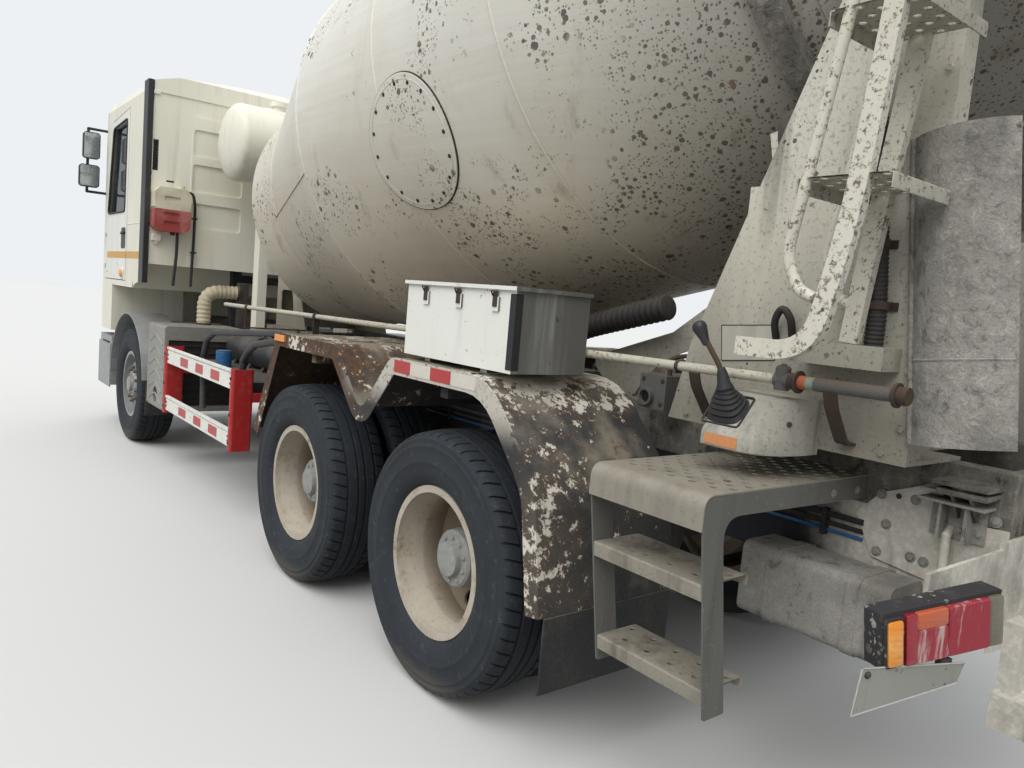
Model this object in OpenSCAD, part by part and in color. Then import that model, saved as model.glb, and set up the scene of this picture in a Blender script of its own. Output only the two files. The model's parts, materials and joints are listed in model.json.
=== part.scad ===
// Concrete mixer truck: three axles, cab over the engine, twin rear wheels and a tilted drum.
// +X points forward, +Y to the truck's left and +Z up; the origin is on the ground at mid length.

/* [Truck] */
// Width over the outer rear tyres
truck_w = 2480; // [2460:10:2520]
// Front axle to the first rear axle
wheelbase = 3900; // [3850:10:3950]
// First rear axle to the second
bogie = 1350; // [1320:10:1400]
// Front bumper to the front axle
front_overhang = 1350; // [1330:10:1400]
// Length of the hoppers behind the drum's mouth
hopper_l = 453.26; // [440:0.01:480]

/* [Wheels] */
// Outer radius of a tyre
tyre_r = 520; // [505:1:530]
// Width of a tyre
tyre_w = 312; // [290:1:320]
// Radius where the tyre sits on the rim
seat_r = 286; // [280:1:292]
// Height of the rim's lip over the tyre's seat
lip_h = 14; // [8:1:20]
// Distance between the two tyres of a twin wheel, centre to centre
twin_pitch = 350; // [345:1:370]
// Middle of a front tyre from the truck's centre plane
front_tyre_y = 1044; // [1020:1:1060]
// Thickness of a wheel disc
disc_t = 12; // [8:1:16]
// Number of hand holes in a wheel disc
hand_holes = 10; // [6:1:12]
// Radius of the spindles that carry the wheels
spindle_r = 45; // [40:1:50]

/* [Frame] */
// Height of a frame rail
rail_h = 255; // [240:1:270]
// Width of a rail's flanges
rail_w = 80; // [70:1:90]
// Thickness of a rail's steel
rail_t = 9; // [7:1:12]
// Outer face of a rail from the centre plane
rail_y = 430; // [420:1:440]
// Top of the frame rails
rail_top = 1018; // [1005:1:1030]
// Height of the mixer's sub-frame
sub_h = 182; // [170:1:190]
// Last axle to the frame's rear end
rear_overhang = 1700; // [1680:10:1720]

/* [Cab] */
// Width of the cab
cab_w = 2440; // [2400:10:2460]
// Length of the cab
cab_l = 1850; // [1830:10:1860]
// Height of the cab's roof over the ground
roof_z = 3250; // [3230:10:3270]
// Bottom of the cab over the front wheels
cab_floor_z = 1400; // [1390:10:1410]
// Thickness of the cab's walls and doors
wall_t = 60; // [50:1:70]
// Gap round a door
door_gap = 8; // [7:0.5:10]
// Thickness of the window glass
glass_t = 6; // [5:1:8]

/* [Drum] */
// Outer radius of the drum's cylinder
drum_r = 1161; // [1140:1:1170]
// Angle of the drum's axis
drum_tilt = 13; // [12.5:0.1:13.5]
// Length of the drum's cylinder
drum_cyl = 1718; // [1690:1:1730]
// Length of the drum's rear cone
cone_l = 2000; // [1980:1:2010]
// Outer radius of the drum's mouth
mouth_r = 590; // [570:1:610]
// Thickness of the drum's steel
drum_t = 8; // [6:1:12]
// Height of the ring that runs on the rollers
ring_h = 46; // [42:1:50]
// Radius of a drum roller
roller_r = 125; // [115:1:135]
// Height of the mixing blades
blade_h = 330; // [280:1:360]
// Radius of the hatch in the drum's side
hatch_r = 300; // [280:1:310]

/* [Tanks] */
// Radius of the water tank
water_r = 315; // [300:1:320]
// Length of the water tank's straight part
water_l = 1280; // [1260:10:1300]

/* [Rear] */
// Outer face of the rear pedestal's side plates from the centre plane
plate_y = 700; // [695:1:710]
// Thickness of the pedestal's plates
plate_t = 8; // [6:1:10]
// Width of the chute's trough
chute_w = 440; // [400:1:450]
// Length of the chute
chute_l = 1150; // [1000:1:1180]
// Thickness of the chute's steel
chute_t = 6; // [4:1:8]

/* [Hidden] */

// The drum's own frame starts at the seam between its cylinder and its rear cone
drum_seat = 52;
truck_l = front_overhang + wheelbase + bogie - drum_seat + cone_l * cos(drum_tilt) + hopper_l;
front_x = truck_l / 2;
tail_x = -truck_l / 2;
front_axle_x = front_x - front_overhang;
mid_axle_x = front_axle_x - wheelbase;
rear_axle_x = mid_axle_x - bogie;
axle_z = tyre_r;
frame_tail_x = rear_axle_x - rear_overhang;
rail_bottom = rail_top - rail_h;
sub_top = rail_top + sub_h;
outer_tyre_y = truck_w / 2 - tyre_w / 2;
inner_tyre_y = outer_tyre_y - twin_pitch;
twin_y = (outer_tyre_y + inner_tyre_y) / 2;
run_gap = 0.3;
clear = 6;

drum_x = rear_axle_x + drum_seat;
drum_z = 2838;
front_cone_l = 1050;
nose_r = 897;
nose_l = 438;
head_r = 868;
head_rise = 200;
head_s = drum_cyl + front_cone_l + nose_l;
ring_s = -900;
ring_w = 90;
ring_r = cone_r(ring_s) + ring_h;
roller_w = 110;
roller_deg = 31;
roller_pin_r = 35;

cab_front = front_x - 50;
cab_back = cab_front - cab_l;
cab_rear_z = 1620;
brow_z = roof_z - 130;
arch_r = 640;
// The drum's front end, and the pedestal under it
gear_x = drum_x + (head_s + head_rise) * cos(drum_tilt);
front_ped_x0 = gear_x + 130;
front_ped_x1 = gear_x + 530;
mouth_x = drum_x - cone_l * cos(drum_tilt);
mouth_z = drum_z + cone_l * sin(drum_tilt);

// An outline in Y and Z, drawn out along X
module along_x(x0, x1) translate([x0, 0, 0]) rotate([90, 0, 90]) linear_extrude(x1 - x0) children();
// An outline in X and Z, drawn out along Y
module along_y(y0, y1) translate([0, y1, 0]) rotate([90, 0, 0]) linear_extrude(y1 - y0) children();
// An outline in X and Y, drawn out along Z
module along_z(z0, z1) translate([0, 0, z0]) linear_extrude(z1 - z0) children();
// A block from its low corner to its high corner
module block(a, b) translate(a) cube(b - a);
// The same piece on both sides
module both_sides() for (side = [0, 1]) mirror([0, side, 0]) children();
// A round bar between two points
module bar(a, b, r) {
    d = b - a;
    translate(a) rotate([0, acos(d[2] / norm(d)), atan2(d[1], d[0])]) cylinder(r = r, h = norm(d), $fn = 32);
}
// A bent bar through points, with a ball at each bend
module bent_bar(points, r) {
    for (i = [0 : len(points) - 2]) bar(points[i], points[i + 1], r);
    for (i = [1 : len(points) - 2]) translate(points[i]) sphere(r = r + 0.4, $fn = 32);
}
module in_drum() translate([drum_x, 0, drum_z]) rotate([0, 90 + drum_tilt, 0]) children();
// A wheel's frame: its axis lies along Y and its outside faces away from the truck
module at_wheel(x, y, side) translate([x, side * y, axle_z]) rotate([-90 * side, 0, 0]) children();

// Points of an arc
function arc(c, r, a0, a1, n) = [for (i = [0 : n]) c + r * [cos(a0 + (a1 - a0) * i / n), sin(a0 + (a1 - a0) * i / n)]];
// The arc of radius r that rounds the corner b between a and c
function corner(a, b, c, r) = let (
    u = (a - b) / norm(a - b), v = (c - b) / norm(c - b), half = acos(u * v) / 2,
    m = b + (u + v) / norm(u + v) * r / sin(half), p = b + u * r / tan(half) - m, q = b + v * r / tan(half) - m,
    a0 = atan2(p[1], p[0]), turn = atan2(p[0] * q[1] - p[1] * q[0], p * q))
    arc(m, r, a0, a0 + turn, max(2, ceil(abs(turn) / 15)));
// An open path whose inner corners are rounded, each by its own radius
function smooth(p, r) = [p[0], for (i = [1 : len(p) - 2]) each corner(p[i - 1], p[i], p[i + 1], r[i - 1]), p[len(p) - 1]];
// A closed outline with every corner rounded by r
function soft(p, r) = let (n = len(p)) [for (i = [0 : n - 1]) each corner(p[(i + n - 1) % n], p[i], p[(i + 1) % n], r)];
function box2(a, b) = [a, [b[0], a[1]], b, [a[0], b[1]]];
// The direction of a path at a point, and the band between two offsets from it
function lean(p, i) = let (d = p[min(i + 1, len(p) - 1)] - p[max(i - 1, 0)]) d / norm(d);
function beside(p, i, w) = p[i] + w * [-lean(p, i)[1], lean(p, i)[0]];
function band(p, a, b) = concat([for (i = [0 : len(p) - 1]) beside(p, i, a)], [for (i = [len(p) - 1 : -1 : 0]) beside(p, i, b)]);
function strip(p, w) = band(p, w / 2, -w / 2);

// Frame and running gear
module rail() {
    y0 = rail_y - rail_w;
    polygon([[rail_y, rail_bottom], [rail_y, rail_top], [y0, rail_top], [y0, rail_top - rail_t],
             [rail_y - rail_t, rail_top - rail_t], [rail_y - rail_t, rail_bottom + rail_t],
             [y0, rail_bottom + rail_t], [y0, rail_bottom]]);
}
module frame() color("dimgray") {
    cross_x = [frame_tail_x + 40, rear_axle_x - 520, (rear_axle_x + mid_axle_x) / 2, mid_axle_x + 900,
               mid_axle_x + 1900, front_axle_x - 1250, front_x - 420];
    difference() {
        union() {
            both_sides() along_x(frame_tail_x, front_x - 330) rail();
            for (x = cross_x)
                block([x - 40, 1 - rail_y, rail_bottom + 90], [x + 40, rail_y - 1, rail_top - 50]);
            block([frame_tail_x - 12, -rail_y - 60, rail_bottom - 60], [frame_tail_x, rail_y + 60, rail_top]);
        }
        for (y = [-80, 80], z = [-50, 50])
            translate([frame_tail_x - 20, y, (rail_bottom + rail_top) / 2 + z]) rotate([0, 90, 0])
                cylinder(r = 10.5, h = 30, $fn = 32);
    }
    // The bridge that the cab's rear end rests on
    both_sides() block([cab_back + 120, rail_y - 80, rail_top - 1], [cab_back + 200, rail_y, cab_rear_z - run_gap]);
    block([cab_back + 130, 80 - rail_y, 1520], [cab_back + 190, rail_y - 80, 1590]);
}
mount_x = [frame_tail_x + 105, mid_axle_x + 1300, mid_axle_x + 2200];
module subframe() color("gray") {
    sub_front = front_ped_x1 + 20;
    both_sides() block([frame_tail_x, rail_y - rail_w, rail_top], [sub_front, rail_y, sub_top]);
    for (x = [frame_tail_x + 60, rear_axle_x, mid_axle_x + 300, sub_front - 200])
        block([x - 50, -rail_y + rail_w, rail_top + 30], [x + 50, rail_y - rail_w, sub_top - 30]);
    // Each mount is an angle under the sub-frame's own shelf, with two ribs
    both_sides() for (x = mount_x) {
        block([x - 75, rail_y - 1, rail_top + 130], [x + 75, rail_y + 110, rail_top + 142]);
        block([x - 75, rail_y - 1, rail_top + 108], [x + 65, rail_y + 100, rail_top + 120]);
        block([x - 75, rail_y - 1, rail_top + 25], [x + 65, rail_y + 10, rail_top + 109]);
        for (rib = [-25, 25]) along_x(x + rib - 4, x + rib + 4)
            polygon([[rail_y + 9, rail_top + 30], [rail_y + 9, rail_top + 109], [rail_y + 95, rail_top + 109], [rail_y + 30, rail_top + 30]]);
        block([x - 30, rail_y + 20, rail_top + 119], [x + 30, rail_y + 80, rail_top + 131]);
    }
}
nose = 260;
module axle_shape(x) {
    half = inner_tyre_y - tyre_w / 2 - 20;
    translate([x, -half, axle_z]) rotate([-90, 0, 0]) cylinder(r = 75, h = 2 * half, $fn = 32);
    translate([x, 0, axle_z]) sphere(r = 200, $fn = 48);
    translate([x + nose, 0, axle_z]) rotate([0, -90, 0]) cylinder(r = 90, h = nose, $fn = 32);
    // Spring pads
    both_sides() block([x - 60, rail_y + 15, axle_z], [x + 60, rail_y + 85, axle_z + 77]);
    both_sides() translate([x, half - 1, axle_z]) rotate([-90, 0, 0]) cylinder(r = spindle_r, h = 420, $fn = 32);
}
kingpin_y = front_tyre_y - 144;
eye_r = 45;
eye_h = 60;
module axles() color("#3a3632") {
    axle_shape(mid_axle_x);
    axle_shape(rear_axle_x);
    // Dropped front beam with an eye for each kingpin
    difference() {
        union() {
            along_x(front_axle_x - 40, front_axle_x + 40) polygon([
                for (s = [1, -1], p = s > 0
                    ? [[kingpin_y, axle_z + eye_h], [kingpin_y, axle_z - eye_h], [kingpin_y - 90, axle_z - eye_h], [620, axle_z - 90], [500, axle_z - 150]]
                    : [[500, axle_z - 150], [620, axle_z - 90], [kingpin_y - 90, axle_z - eye_h], [kingpin_y, axle_z - eye_h], [kingpin_y, axle_z + eye_h]])
                    [s * p[0], p[1]],
                [-620, axle_z + 20], [-500, axle_z - 50], [500, axle_z - 50], [620, axle_z + 20]]);
            both_sides() translate([front_axle_x, kingpin_y, axle_z - eye_h]) cylinder(r = eye_r, h = 2 * eye_h, $fn = 48);
        }
        both_sides() translate([front_axle_x, kingpin_y, axle_z - 80]) cylinder(r = 25 + run_gap, h = 160, $fn = 32);
    }
}
module springs() color("#2d2a28") both_sides() {
    // Front leaves on hangers
    spring_y = rail_y - 40;
    for (i = [0 : 2])
        block([front_axle_x - 620 + i * 160, spring_y - 40, axle_z + 60 - i * 25],
              [front_axle_x + 620 - i * 160, spring_y + 40, axle_z + 85 - i * 25]);
    for (x = [-1, 1])
        block([front_axle_x + x * 600 - 25, spring_y - 40, axle_z + 84], [front_axle_x + x * 600 + 25, spring_y + 40, rail_bottom]);
    block([front_axle_x - 60, spring_y - 45, axle_z - 50], [front_axle_x + 60, spring_y + 45, axle_z + 10]);
    // Bogie leaves over a trunnion
    bogie_x = (mid_axle_x + rear_axle_x) / 2;
    for (i = [0 : 3])
        block([bogie_x - bogie / 2 - 60 + i * 130, rail_y + 10, axle_z + 77 + i * 26],
              [bogie_x + bogie / 2 + 60 - i * 130, rail_y + 90, axle_z + 102 + i * 26]);
    block([bogie_x - 90, rail_y + 10, axle_z - 60], [bogie_x + 90, rail_y + 90, axle_z + 77]);
    block([bogie_x - 120, rail_y, axle_z - 100], [bogie_x + 120, rail_y + 10, rail_top - 60]);
}
module powertrain() color("#4a4a48") {
    block([front_axle_x - 420, -300, 640], [front_axle_x + 750, 300, 1150]);
    translate([front_axle_x - 420, 0, 780]) rotate([0, -90, 0]) cylinder(r1 = 240, r2 = 150, h = 700, $fn = 48);
    for (x = [-200, 500]) both_sides() block([front_axle_x + x, 299, 850], [front_axle_x + x + 80, rail_y - rail_t, 900]);
    bar([front_axle_x - 1120, 0, 780], [mid_axle_x + nose + 6, 0, axle_z], 55);
    bar([mid_axle_x - 200 - run_gap, 0, axle_z], [rear_axle_x + nose + run_gap, 0, axle_z], 55);
}

// Tyres and rims
module tyre_shape() {
    h = tyre_w / 2;
    side = [[seat_r, 0.72 * h], [seat_r + 14, 0.74 * h], [0.62 * tyre_r, 0.93 * h], [0.77 * tyre_r, h],
            [0.90 * tyre_r, 0.96 * h], [tyre_r - 14, 0.86 * h], [tyre_r, 0.72 * h]];
    n = len(side);
    rotate_extrude($fn = 72) polygon([for (p = side) p, for (i = [n - 1 : -1 : 0]) [side[i][0], -side[i][1]]]);
}
module barrel_shape() {
    h = 0.80 * tyre_w / 2;
    w = 0.75 * tyre_w / 2;
    rotate_extrude($fn = 72) polygon([
        [seat_r - 14, -h], [seat_r + lip_h, -h], [seat_r + lip_h, -w], [seat_r, -w], [seat_r, w],
        [seat_r + lip_h, w], [seat_r + lip_h, h], [seat_r - 14, h], [seat_r - 14, w - 20], [seat_r - 22, 0],
        [seat_r - 14, 20 - w]]);
}
hub_r = 135;
hub_face_r = 105;
hole_r = 30;
drum_brake_r = 205;
module disc_shape(rise) difference() {
    rotate_extrude($fn = 72) polygon([[hub_r - 10, 0], [170, 0], [seat_r - 14, rise], [seat_r - 14, rise + disc_t],
                                      [166, disc_t], [hub_r - 10, disc_t]]);
    for (i = [0 : hand_holes - 1]) rotate([0, 0, i * 360 / hand_holes]) translate([222, 0, -5])
        cylinder(r = hole_r, h = rise + disc_t + 10, $fn = 24);
}
// A hub that narrows to its bolted face and its cap
module hub_cone(z0, z1) rotate_extrude($fn = 64) polygon([
    [0, z0], [hub_r, z0], [hub_r, z0 + 30], [hub_face_r + 10, z1 - 10], [hub_face_r, z1], [70, z1], [66, z1 + 26], [40, z1 + 30], [0, z1 + 30]]);
// Both rims of a twin wheel, with the hub and brake drum between them
module twin_rims(x, side) color("#a99a85") at_wheel(x, twin_y, side) difference() {
    inward = twin_y - (inner_tyre_y - tyre_w / 2 - 15);
    union() {
        for (z = [-1, 1]) translate([0, 0, z * twin_pitch / 2]) barrel_shape();
        disc_shape(60);
        mirror([0, 0, 1]) disc_shape(60);
        translate([0, 0, -inward]) cylinder(r = drum_brake_r, h = inward - 20, $fn = 64);
        hub_cone(-30, 205);
    }
    translate([0, 0, -inward - 1]) cylinder(r = spindle_r + run_gap, h = inward + 120, $fn = 48);
}
module twin_tyres(x, side) color("#2b2a28") at_wheel(x, twin_y, side)
    for (z = [-1, 1]) translate([0, 0, z * twin_pitch / 2]) tyre_shape();
// A front rim carries its disc near its outer face
module front_rim(side) color("#b9b6ae") at_wheel(front_axle_x, front_tyre_y, side) difference() {
    inward = 60;
    union() {
        barrel_shape();
        translate([0, 0, 95]) mirror([0, 0, 1]) disc_shape(45);
        translate([0, 0, -inward]) cylinder(r = drum_brake_r, h = inward + 60, $fn = 64);
        hub_cone(40, 118);
    }
    translate([0, 0, -inward - 1]) cylinder(r = spindle_r + run_gap, h = 180, $fn = 48);
}
module front_tyre(side) color("#2b2a28") at_wheel(front_axle_x, front_tyre_y, side) tyre_shape();
// A knuckle: fork round the beam's eye, kingpin, spindle and steering arm
module knuckle(side) color("#3d3935") mirror([0, (1 - side) / 2, 0]) translate([front_axle_x, kingpin_y, axle_z]) {
    spindle_end = front_tyre_y - kingpin_y + 80;
    difference() {
        block([-50, -42, -100], [50, eye_r + clear + 27, 100]);
        block([-60, -60, -eye_h - run_gap], [60, eye_r + clear, eye_h + run_gap]);
    }
    translate([0, 0, -100]) cylinder(r = 25, h = 200, $fn = 32);
    translate([0, 50, 0]) rotate([-90, 0, 0]) cylinder(r = spindle_r, h = spindle_end - 50, $fn = 32);
    block([-230, -30, -100], [-49, 10, -78]);
}

// Front end under the cab, with steps and wheel arches
tow_hole_r = 40;
bumper_z = [400, 820];
bumper_t = 12;
lamp_y = 820;
lamp_z = 600;
lamp_size = [180, 70];
function bumper_plan(t) = let (h = 1220 - t, x1 = front_x - t, r = 180 - t, x0 = front_axle_x + arch_r + 12 - (t > 0 ? 1 : 0)) concat(
    [[x0, -h]], arc([x1 - r, r - h], r, -90, 0, 6), arc([x1 - r, h - r], r, 0, 90, 6), [[x0, h]]);
module front_end() color("#8b8f92") {
    difference() {
        along_z(bumper_z[0], bumper_z[1]) polygon(bumper_plan(0));
        along_z(bumper_z[0] - 1, bumper_z[1] - bumper_t) polygon(bumper_plan(bumper_t));
        // The top is a ledge, open over the engine
        along_z(bumper_z[0] - 1, bumper_z[1] + 1) polygon(bumper_plan(90));
        translate([front_x - 20, 0, 560]) rotate([0, 90, 0]) cylinder(r = tow_hole_r, h = 40, $fn = 32);
        both_sides() translate([front_x - 14, lamp_y, lamp_z])
            block([0, -lamp_size[0] - run_gap, -lamp_size[1] - run_gap], [20, lamp_size[0] + run_gap, lamp_size[1] + run_gap]);
        // Air slots between the lamps
        for (z = [670, 730]) block([front_x - 30, -520, z], [front_x + 1, 520, z + 30]);
    }
    // Beam that carries the bumper
    block([front_x - 330, -rail_y, 620], [front_x - 150, rail_y, 740]);
    block([front_x - 150, -rail_y, 640], [front_x - bumper_t, rail_y, 660]);
    // Lugs and pins that the cab tilts on
    both_sides() {
        block([tilt_x - 50, rail_y - 30, 700], [tilt_x + 30, rail_y, tilt_z + 30]);
        bar([tilt_x, rail_y - 1, tilt_z], [tilt_x, tilt_y + 38, tilt_z], 20);
    }
    // Steps and the arch over the wheel
    both_sides() {
        difference() {
            block([front_axle_x + arch_r + 8, 900, 420], [front_x - 190, 1209, 900]);
            for (z = [470, 690]) block([front_axle_x + arch_r + 90, 1010, z], [front_x - 290, 1221, z + 150]);
        }
        along_y(900, 1220) polygon(concat(
            arc([front_axle_x, axle_z], arch_r, 5, 170, 16),
            arc([front_axle_x, axle_z], arch_r + 12, 170, 5, 16)));
        // Arm that carries the arch, over the tyre
        block([front_axle_x - 30, rail_y - 40, rail_top], [front_axle_x + 30, rail_y, 1110]);
        block([front_axle_x - 30, rail_y - 40, 1070], [front_axle_x + 30, 910, 1110]);
        block([front_axle_x - 30, 885, 1070], [front_axle_x + 30, 910, axle_z + arch_r + 4]);
    }
}
module tail_lamp_frame() translate([rear_axle_x - 1765, 940, 860]) rotate([0, 0, -22]) children();
lens_y = 175;
lens_z = 75;
module lamps() color("#b3433a") both_sides() {
    tail_lamp_frame() along_z(-lens_z, lens_z)
        polygon(soft([[-40, -lens_y], [30, -lens_y], [30, lens_y], [0, lens_y], [-40, lens_y - 30]], 8));
    translate([front_x - 13, lamp_y, lamp_z]) block([0, -lamp_size[0], -lamp_size[1]], [13, lamp_size[0], lamp_size[1]]);
}
// Side guards: rounded posts and two rails with a bead along the top
guard_x0 = mid_axle_x + 1070;
guard_x1 = front_axle_x - 1325;
module guard_rail(h) polygon([[1180, 0], [1196, 0], [1196, h - 27], [1188, h - 24], [1188, h - 20], [1202, h - 16], [1202, h], [1180, h]]);
module side_guards() color("#c9c7c0") both_sides() {
    for (x = [guard_x0, guard_x1 + 40]) {
        along_z(465, 990) difference() {
            polygon(soft([[x - 25, 1068], [x + 25, 1068], [x + 25, 1210], [x - 25, 1210]], 20));
            polygon(box2([x - 17, 1080], [x + 26, 1172]));
        }
        block([x - 24, rail_y, 780], [x - 4, 1073, 840]);
    }
    for (r = [[490, 115], [860, 125]]) along_x(guard_x0 + 20, guard_x1 + 20) translate([0, r[0]]) guard_rail(r[1]);
}
module battery_box() color("#8d9091") {
    x0 = front_axle_x - 1225;
    x1 = front_axle_x - 725;
    along_x(x0, x1) polygon(soft([[-1200, 455], [-560, 455], [-560, 1140], [-1200, 1140]], 25));
    block([x0 - 8, -1204, 1020], [x1 + 8, -556, 1141]);
    for (x = [x0 + 80, x1 - 140]) block([x, -561, 800], [x + 60, -rail_y, 950]);
}
// Bent tubes guard the shelf that carries the air tanks
guard_tube_r = 22;
guard_tube_y = 1120;
tank_shelf = [mid_axle_x + 1102, front_axle_x - 1290];
module tube_guard() color("#242424") {
    bent_bar([for (p = [[1905, 610], [1935, 990], [1865, 1115], [1705, 1175], [575, 1262], [285, 1262]])
        [mid_axle_x + p[0], guard_tube_y, p[1]]], guard_tube_r);
    bent_bar([for (p = [[1124, 860], [1120, 1040], [1035, 1110], [905, 1165], [575, 1212], [305, 1212]])
        [mid_axle_x + p[0], guard_tube_y, p[1]]], guard_tube_r);
    block([tank_shelf[0], rail_y, 850], [tank_shelf[1] - 100, guard_tube_y, 900]);
    // Two air tanks in saddles, and the canister beside them
    for (x = [tank_shelf[0] + 170, tank_shelf[0] + 760]) {
        translate([x, 700, 1024]) rotate([0, 90, 0]) cylinder(r = 115, h = 520, $fn = 48);
        for (s = [80, 400]) along_x(x + s, x + s + 40) polygon([[610, 899], [790, 899], [760, 960], [640, 960]]);
    }
    translate([mid_axle_x + 2050, 940, 899]) cylinder(r = 55, h = 120, $fn = 40);
}
module fuel_tank() color("#9a9d9e") {
    x0 = mid_axle_x + 1200;
    x1 = mid_axle_x + 2250;
    along_x(x0, x1) polygon(soft([[-1150, 500], [-500, 500], [-500, 1010], [-1150, 1010]], 60));
    translate([x0 + 200, -1000, 1009]) cylinder(r = 55, h = 40, $fn = 40);
    // Straps and the brackets that they close on
    for (x = [x0 + 180, x1 - 260]) {
        along_x(x, x + 80) polygon(soft([[-1155, 495], [-495, 495], [-495, 1015], [-1155, 1015]], 64));
        block([x, -501, 600], [x + 80, -rail_y, 960]);
    }
}
// The silencer is a bright box with its outlet low on the outer side
silencer_x0 = front_axle_x - 1225;
silencer_x1 = front_axle_x - 725;
silencer_top = 1140;
module silencer() color("#c3c6c8") {
    difference() {
        along_x(silencer_x0, silencer_x1) polygon(soft([[560, 455], [1200, 455], [1200, silencer_top], [560, silencer_top]], 25));
        block([silencer_x0 - 1, 600, 500], [silencer_x0 + 20, 1170, 1030]);
        translate([silencer_x0 + 240, 1160, 565]) rotate([-90, 0, 0]) cylinder(r = 65, h = 60, $fn = 40);
    }
    for (x = [silencer_x0 + 80, silencer_x1 - 140]) block([x, rail_y, 800], [x + 60, 561, 900]);
}

// Rear body
fender_y0 = 600;
fender_y1 = 1250;
fender_t = 5;
fender_lip = 70;
fender_top = 1290;
fender_path = smooth([[1880, 720], [1600, fender_top], [880, fender_top], [600, 1020], [360, fender_top], [-330, fender_top],
                      [-625, 970], [-700, 560]], [90, 90, 60, 90, 300, 300]);
module rear_fenders() color("#6b5c4e") both_sides() {
    translate([rear_axle_x, 0, 0]) {
        along_y(fender_y0, fender_y1) polygon(band(fender_path, 0, fender_t));
        // Lip along the outer edge
        along_y(fender_y1 - 5, fender_y1) polygon(band(fender_path, 0, fender_lip));
    }
    for (x = [rear_axle_x + 1200, rear_axle_x])
        block([x - 25, rail_y, sub_top - 30], [x + 25, fender_y1 - 40, fender_top - fender_t / 2]);
}
module mudflaps() color("#1f1f1f") both_sides() {
    block([rear_axle_x - 706, fender_y0 + 20, 300], [rear_axle_x - 698, fender_y1 - 20, 559]);
    block([front_axle_x - arch_r - 2, 930, 330], [front_axle_x - arch_r + 8, 1190, axle_z + arch_r * sin(170)]);
}
box_x0 = rear_axle_x - 390;
box_x1 = rear_axle_x + 330;
box_y0 = 860;
box_y1 = 1205;
box_z0 = 1310;
box_top = 1610;
lid_t = 14;
lid_side = 12;
lid_hinge_y = box_y0 - 10;
lid_hinge_z = box_top - lid_t;
module toolbox() color("#d8d5cb") {
    difference() {
        block([box_x0, box_y0, box_z0], [box_x1, box_y1, box_top - lid_t - run_gap]);
        block([box_x0 + 4, box_y0 + 4, box_z0 + 4], [box_x1 - 4, box_y1 - 4, box_top + 1]);
    }
    for (x = [box_x0 + 190, box_x1 - 140]) block([x, box_y0 + 40, fender_top], [x + 40, box_y1 - 40, box_z0 + 1]);
    // Three hasps
    for (i = [0 : 2]) block([box_x0 + 90 + i * 230, box_y1 - 1, box_top - 90], [box_x0 + 130 + i * 230, box_y1 + 8, box_top - 40]);
    // Fixed hinge barrels
    for (x = [box_x0 + 100, box_x1 - 220]) {
        translate([x, lid_hinge_y, lid_hinge_z]) rotate([0, 90, 0]) cylinder(r = 6, h = 60, $fn = 24);
        block([x, lid_hinge_y, lid_hinge_z - 12], [x + 60, box_y0 + 1, lid_hinge_z - run_gap]);
    }
}
module toolbox_lid() color("#cfccc2") {
    difference() {
        block([box_x0 - lid_side, box_y0 - 3, box_top - lid_t], [box_x1 + lid_side, box_y1 + lid_side, box_top]);
        block([box_x0 + 1, box_y0 + 1, box_top - lid_t - 1], [box_x1 - 1, box_y1 - 1, box_top - 3]);
    }
    // Moving hinge barrels
    for (x = [box_x0 + 100, box_x1 - 220]) {
        translate([x + 60 + run_gap, lid_hinge_y, lid_hinge_z]) rotate([0, 90, 0]) cylinder(r = 6, h = 50, $fn = 24);
        block([x + 60 + run_gap, lid_hinge_y, lid_hinge_z], [x + 110 + run_gap, box_y0 - 2, lid_hinge_z + 6]);
    }
}
platform_x0 = rear_axle_x - 1285;
platform_x1 = rear_axle_x - 870;
platform_z = 1110;
platform_t = 5;
module platform_steps() color("#57504a") {
    // Tread plate with a rolled outer edge
    along_x(platform_x0, platform_x1)
        polygon(band(smooth([[rail_y, platform_z], [fender_y1, platform_z], [fender_y1, platform_z - 75]], [45]), 0, -platform_t));
    // Side plates curve down into the leaning legs
    side = smooth([[rail_y, platform_z - 75], [1165, platform_z - 65], [1062, 480], [1152, 480], [fender_y1 - 5, 1030],
                   [fender_y1 - 5, platform_z - 4], [rail_y, platform_z - 4]], [80, 8, 8, 120, 40]);
    for (x = [platform_x0, platform_x1 - 6]) along_x(x, x + 6) polygon(side);
    // Two steps with turned-down lips
    for (step = [[1015, 1216, 868], [985, 1162, 565]]) along_x(platform_x0 + 5, platform_x1 - 5)
        polygon(band(smooth([[step[0], step[2] - 30], [step[0], step[2]], [step[1], step[2]], [step[1] - 6, step[2] - 45]], [6, 14]), 0, 4));
}

// Mixer
module front_pedestal() color("#b5ae9c") {
    x0 = front_ped_x0;
    x1 = front_ped_x1;
    both_sides() along_y(rail_y - rail_w, rail_y - rail_w + 10) difference() {
        polygon([[x0 - 200, sub_top], [x1, sub_top], [x1, 2050], [x0 + 120, 2050], [x0 - 60, 1500]]);
        polygon(soft([[x0 + 40, 1320], [x1 - 90, 1320], [x1 - 90, 1500], [x0 + 90, 1500]], 40));
    }
    half = rail_y - rail_w + 5;
    block([x1 - 30, -half, sub_top], [x1 - 18, half, 1700]);
    block([x0 + 120, -half, 1540], [x0 + 132, half, 1700]);
}
module drum_gearbox() color("#5d5f60") {
    in_drum() {
        translate([0, 0, head_s + head_rise + 40]) rotate_extrude($fn = 48)
            polygon([[0, 0], [230, 0], [230, 60], [205, 75], [205, 250], [160, 300], [120, 300], [120, 520], [0, 520]]);
        translate([0, 0, head_s + head_rise + run_gap]) cylinder(r = 150, h = 41, $fn = 48);
    }
    block([gear_x + 270, rail_w - rail_y, 1760], [gear_x + 480, rail_y - rail_w, 1900]);
}
tank_x = front_axle_x - 1010;
tank_z = 2680;
tank_dome = 120;
tank_leg = [60, rail_y - rail_w, rail_y];
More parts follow.
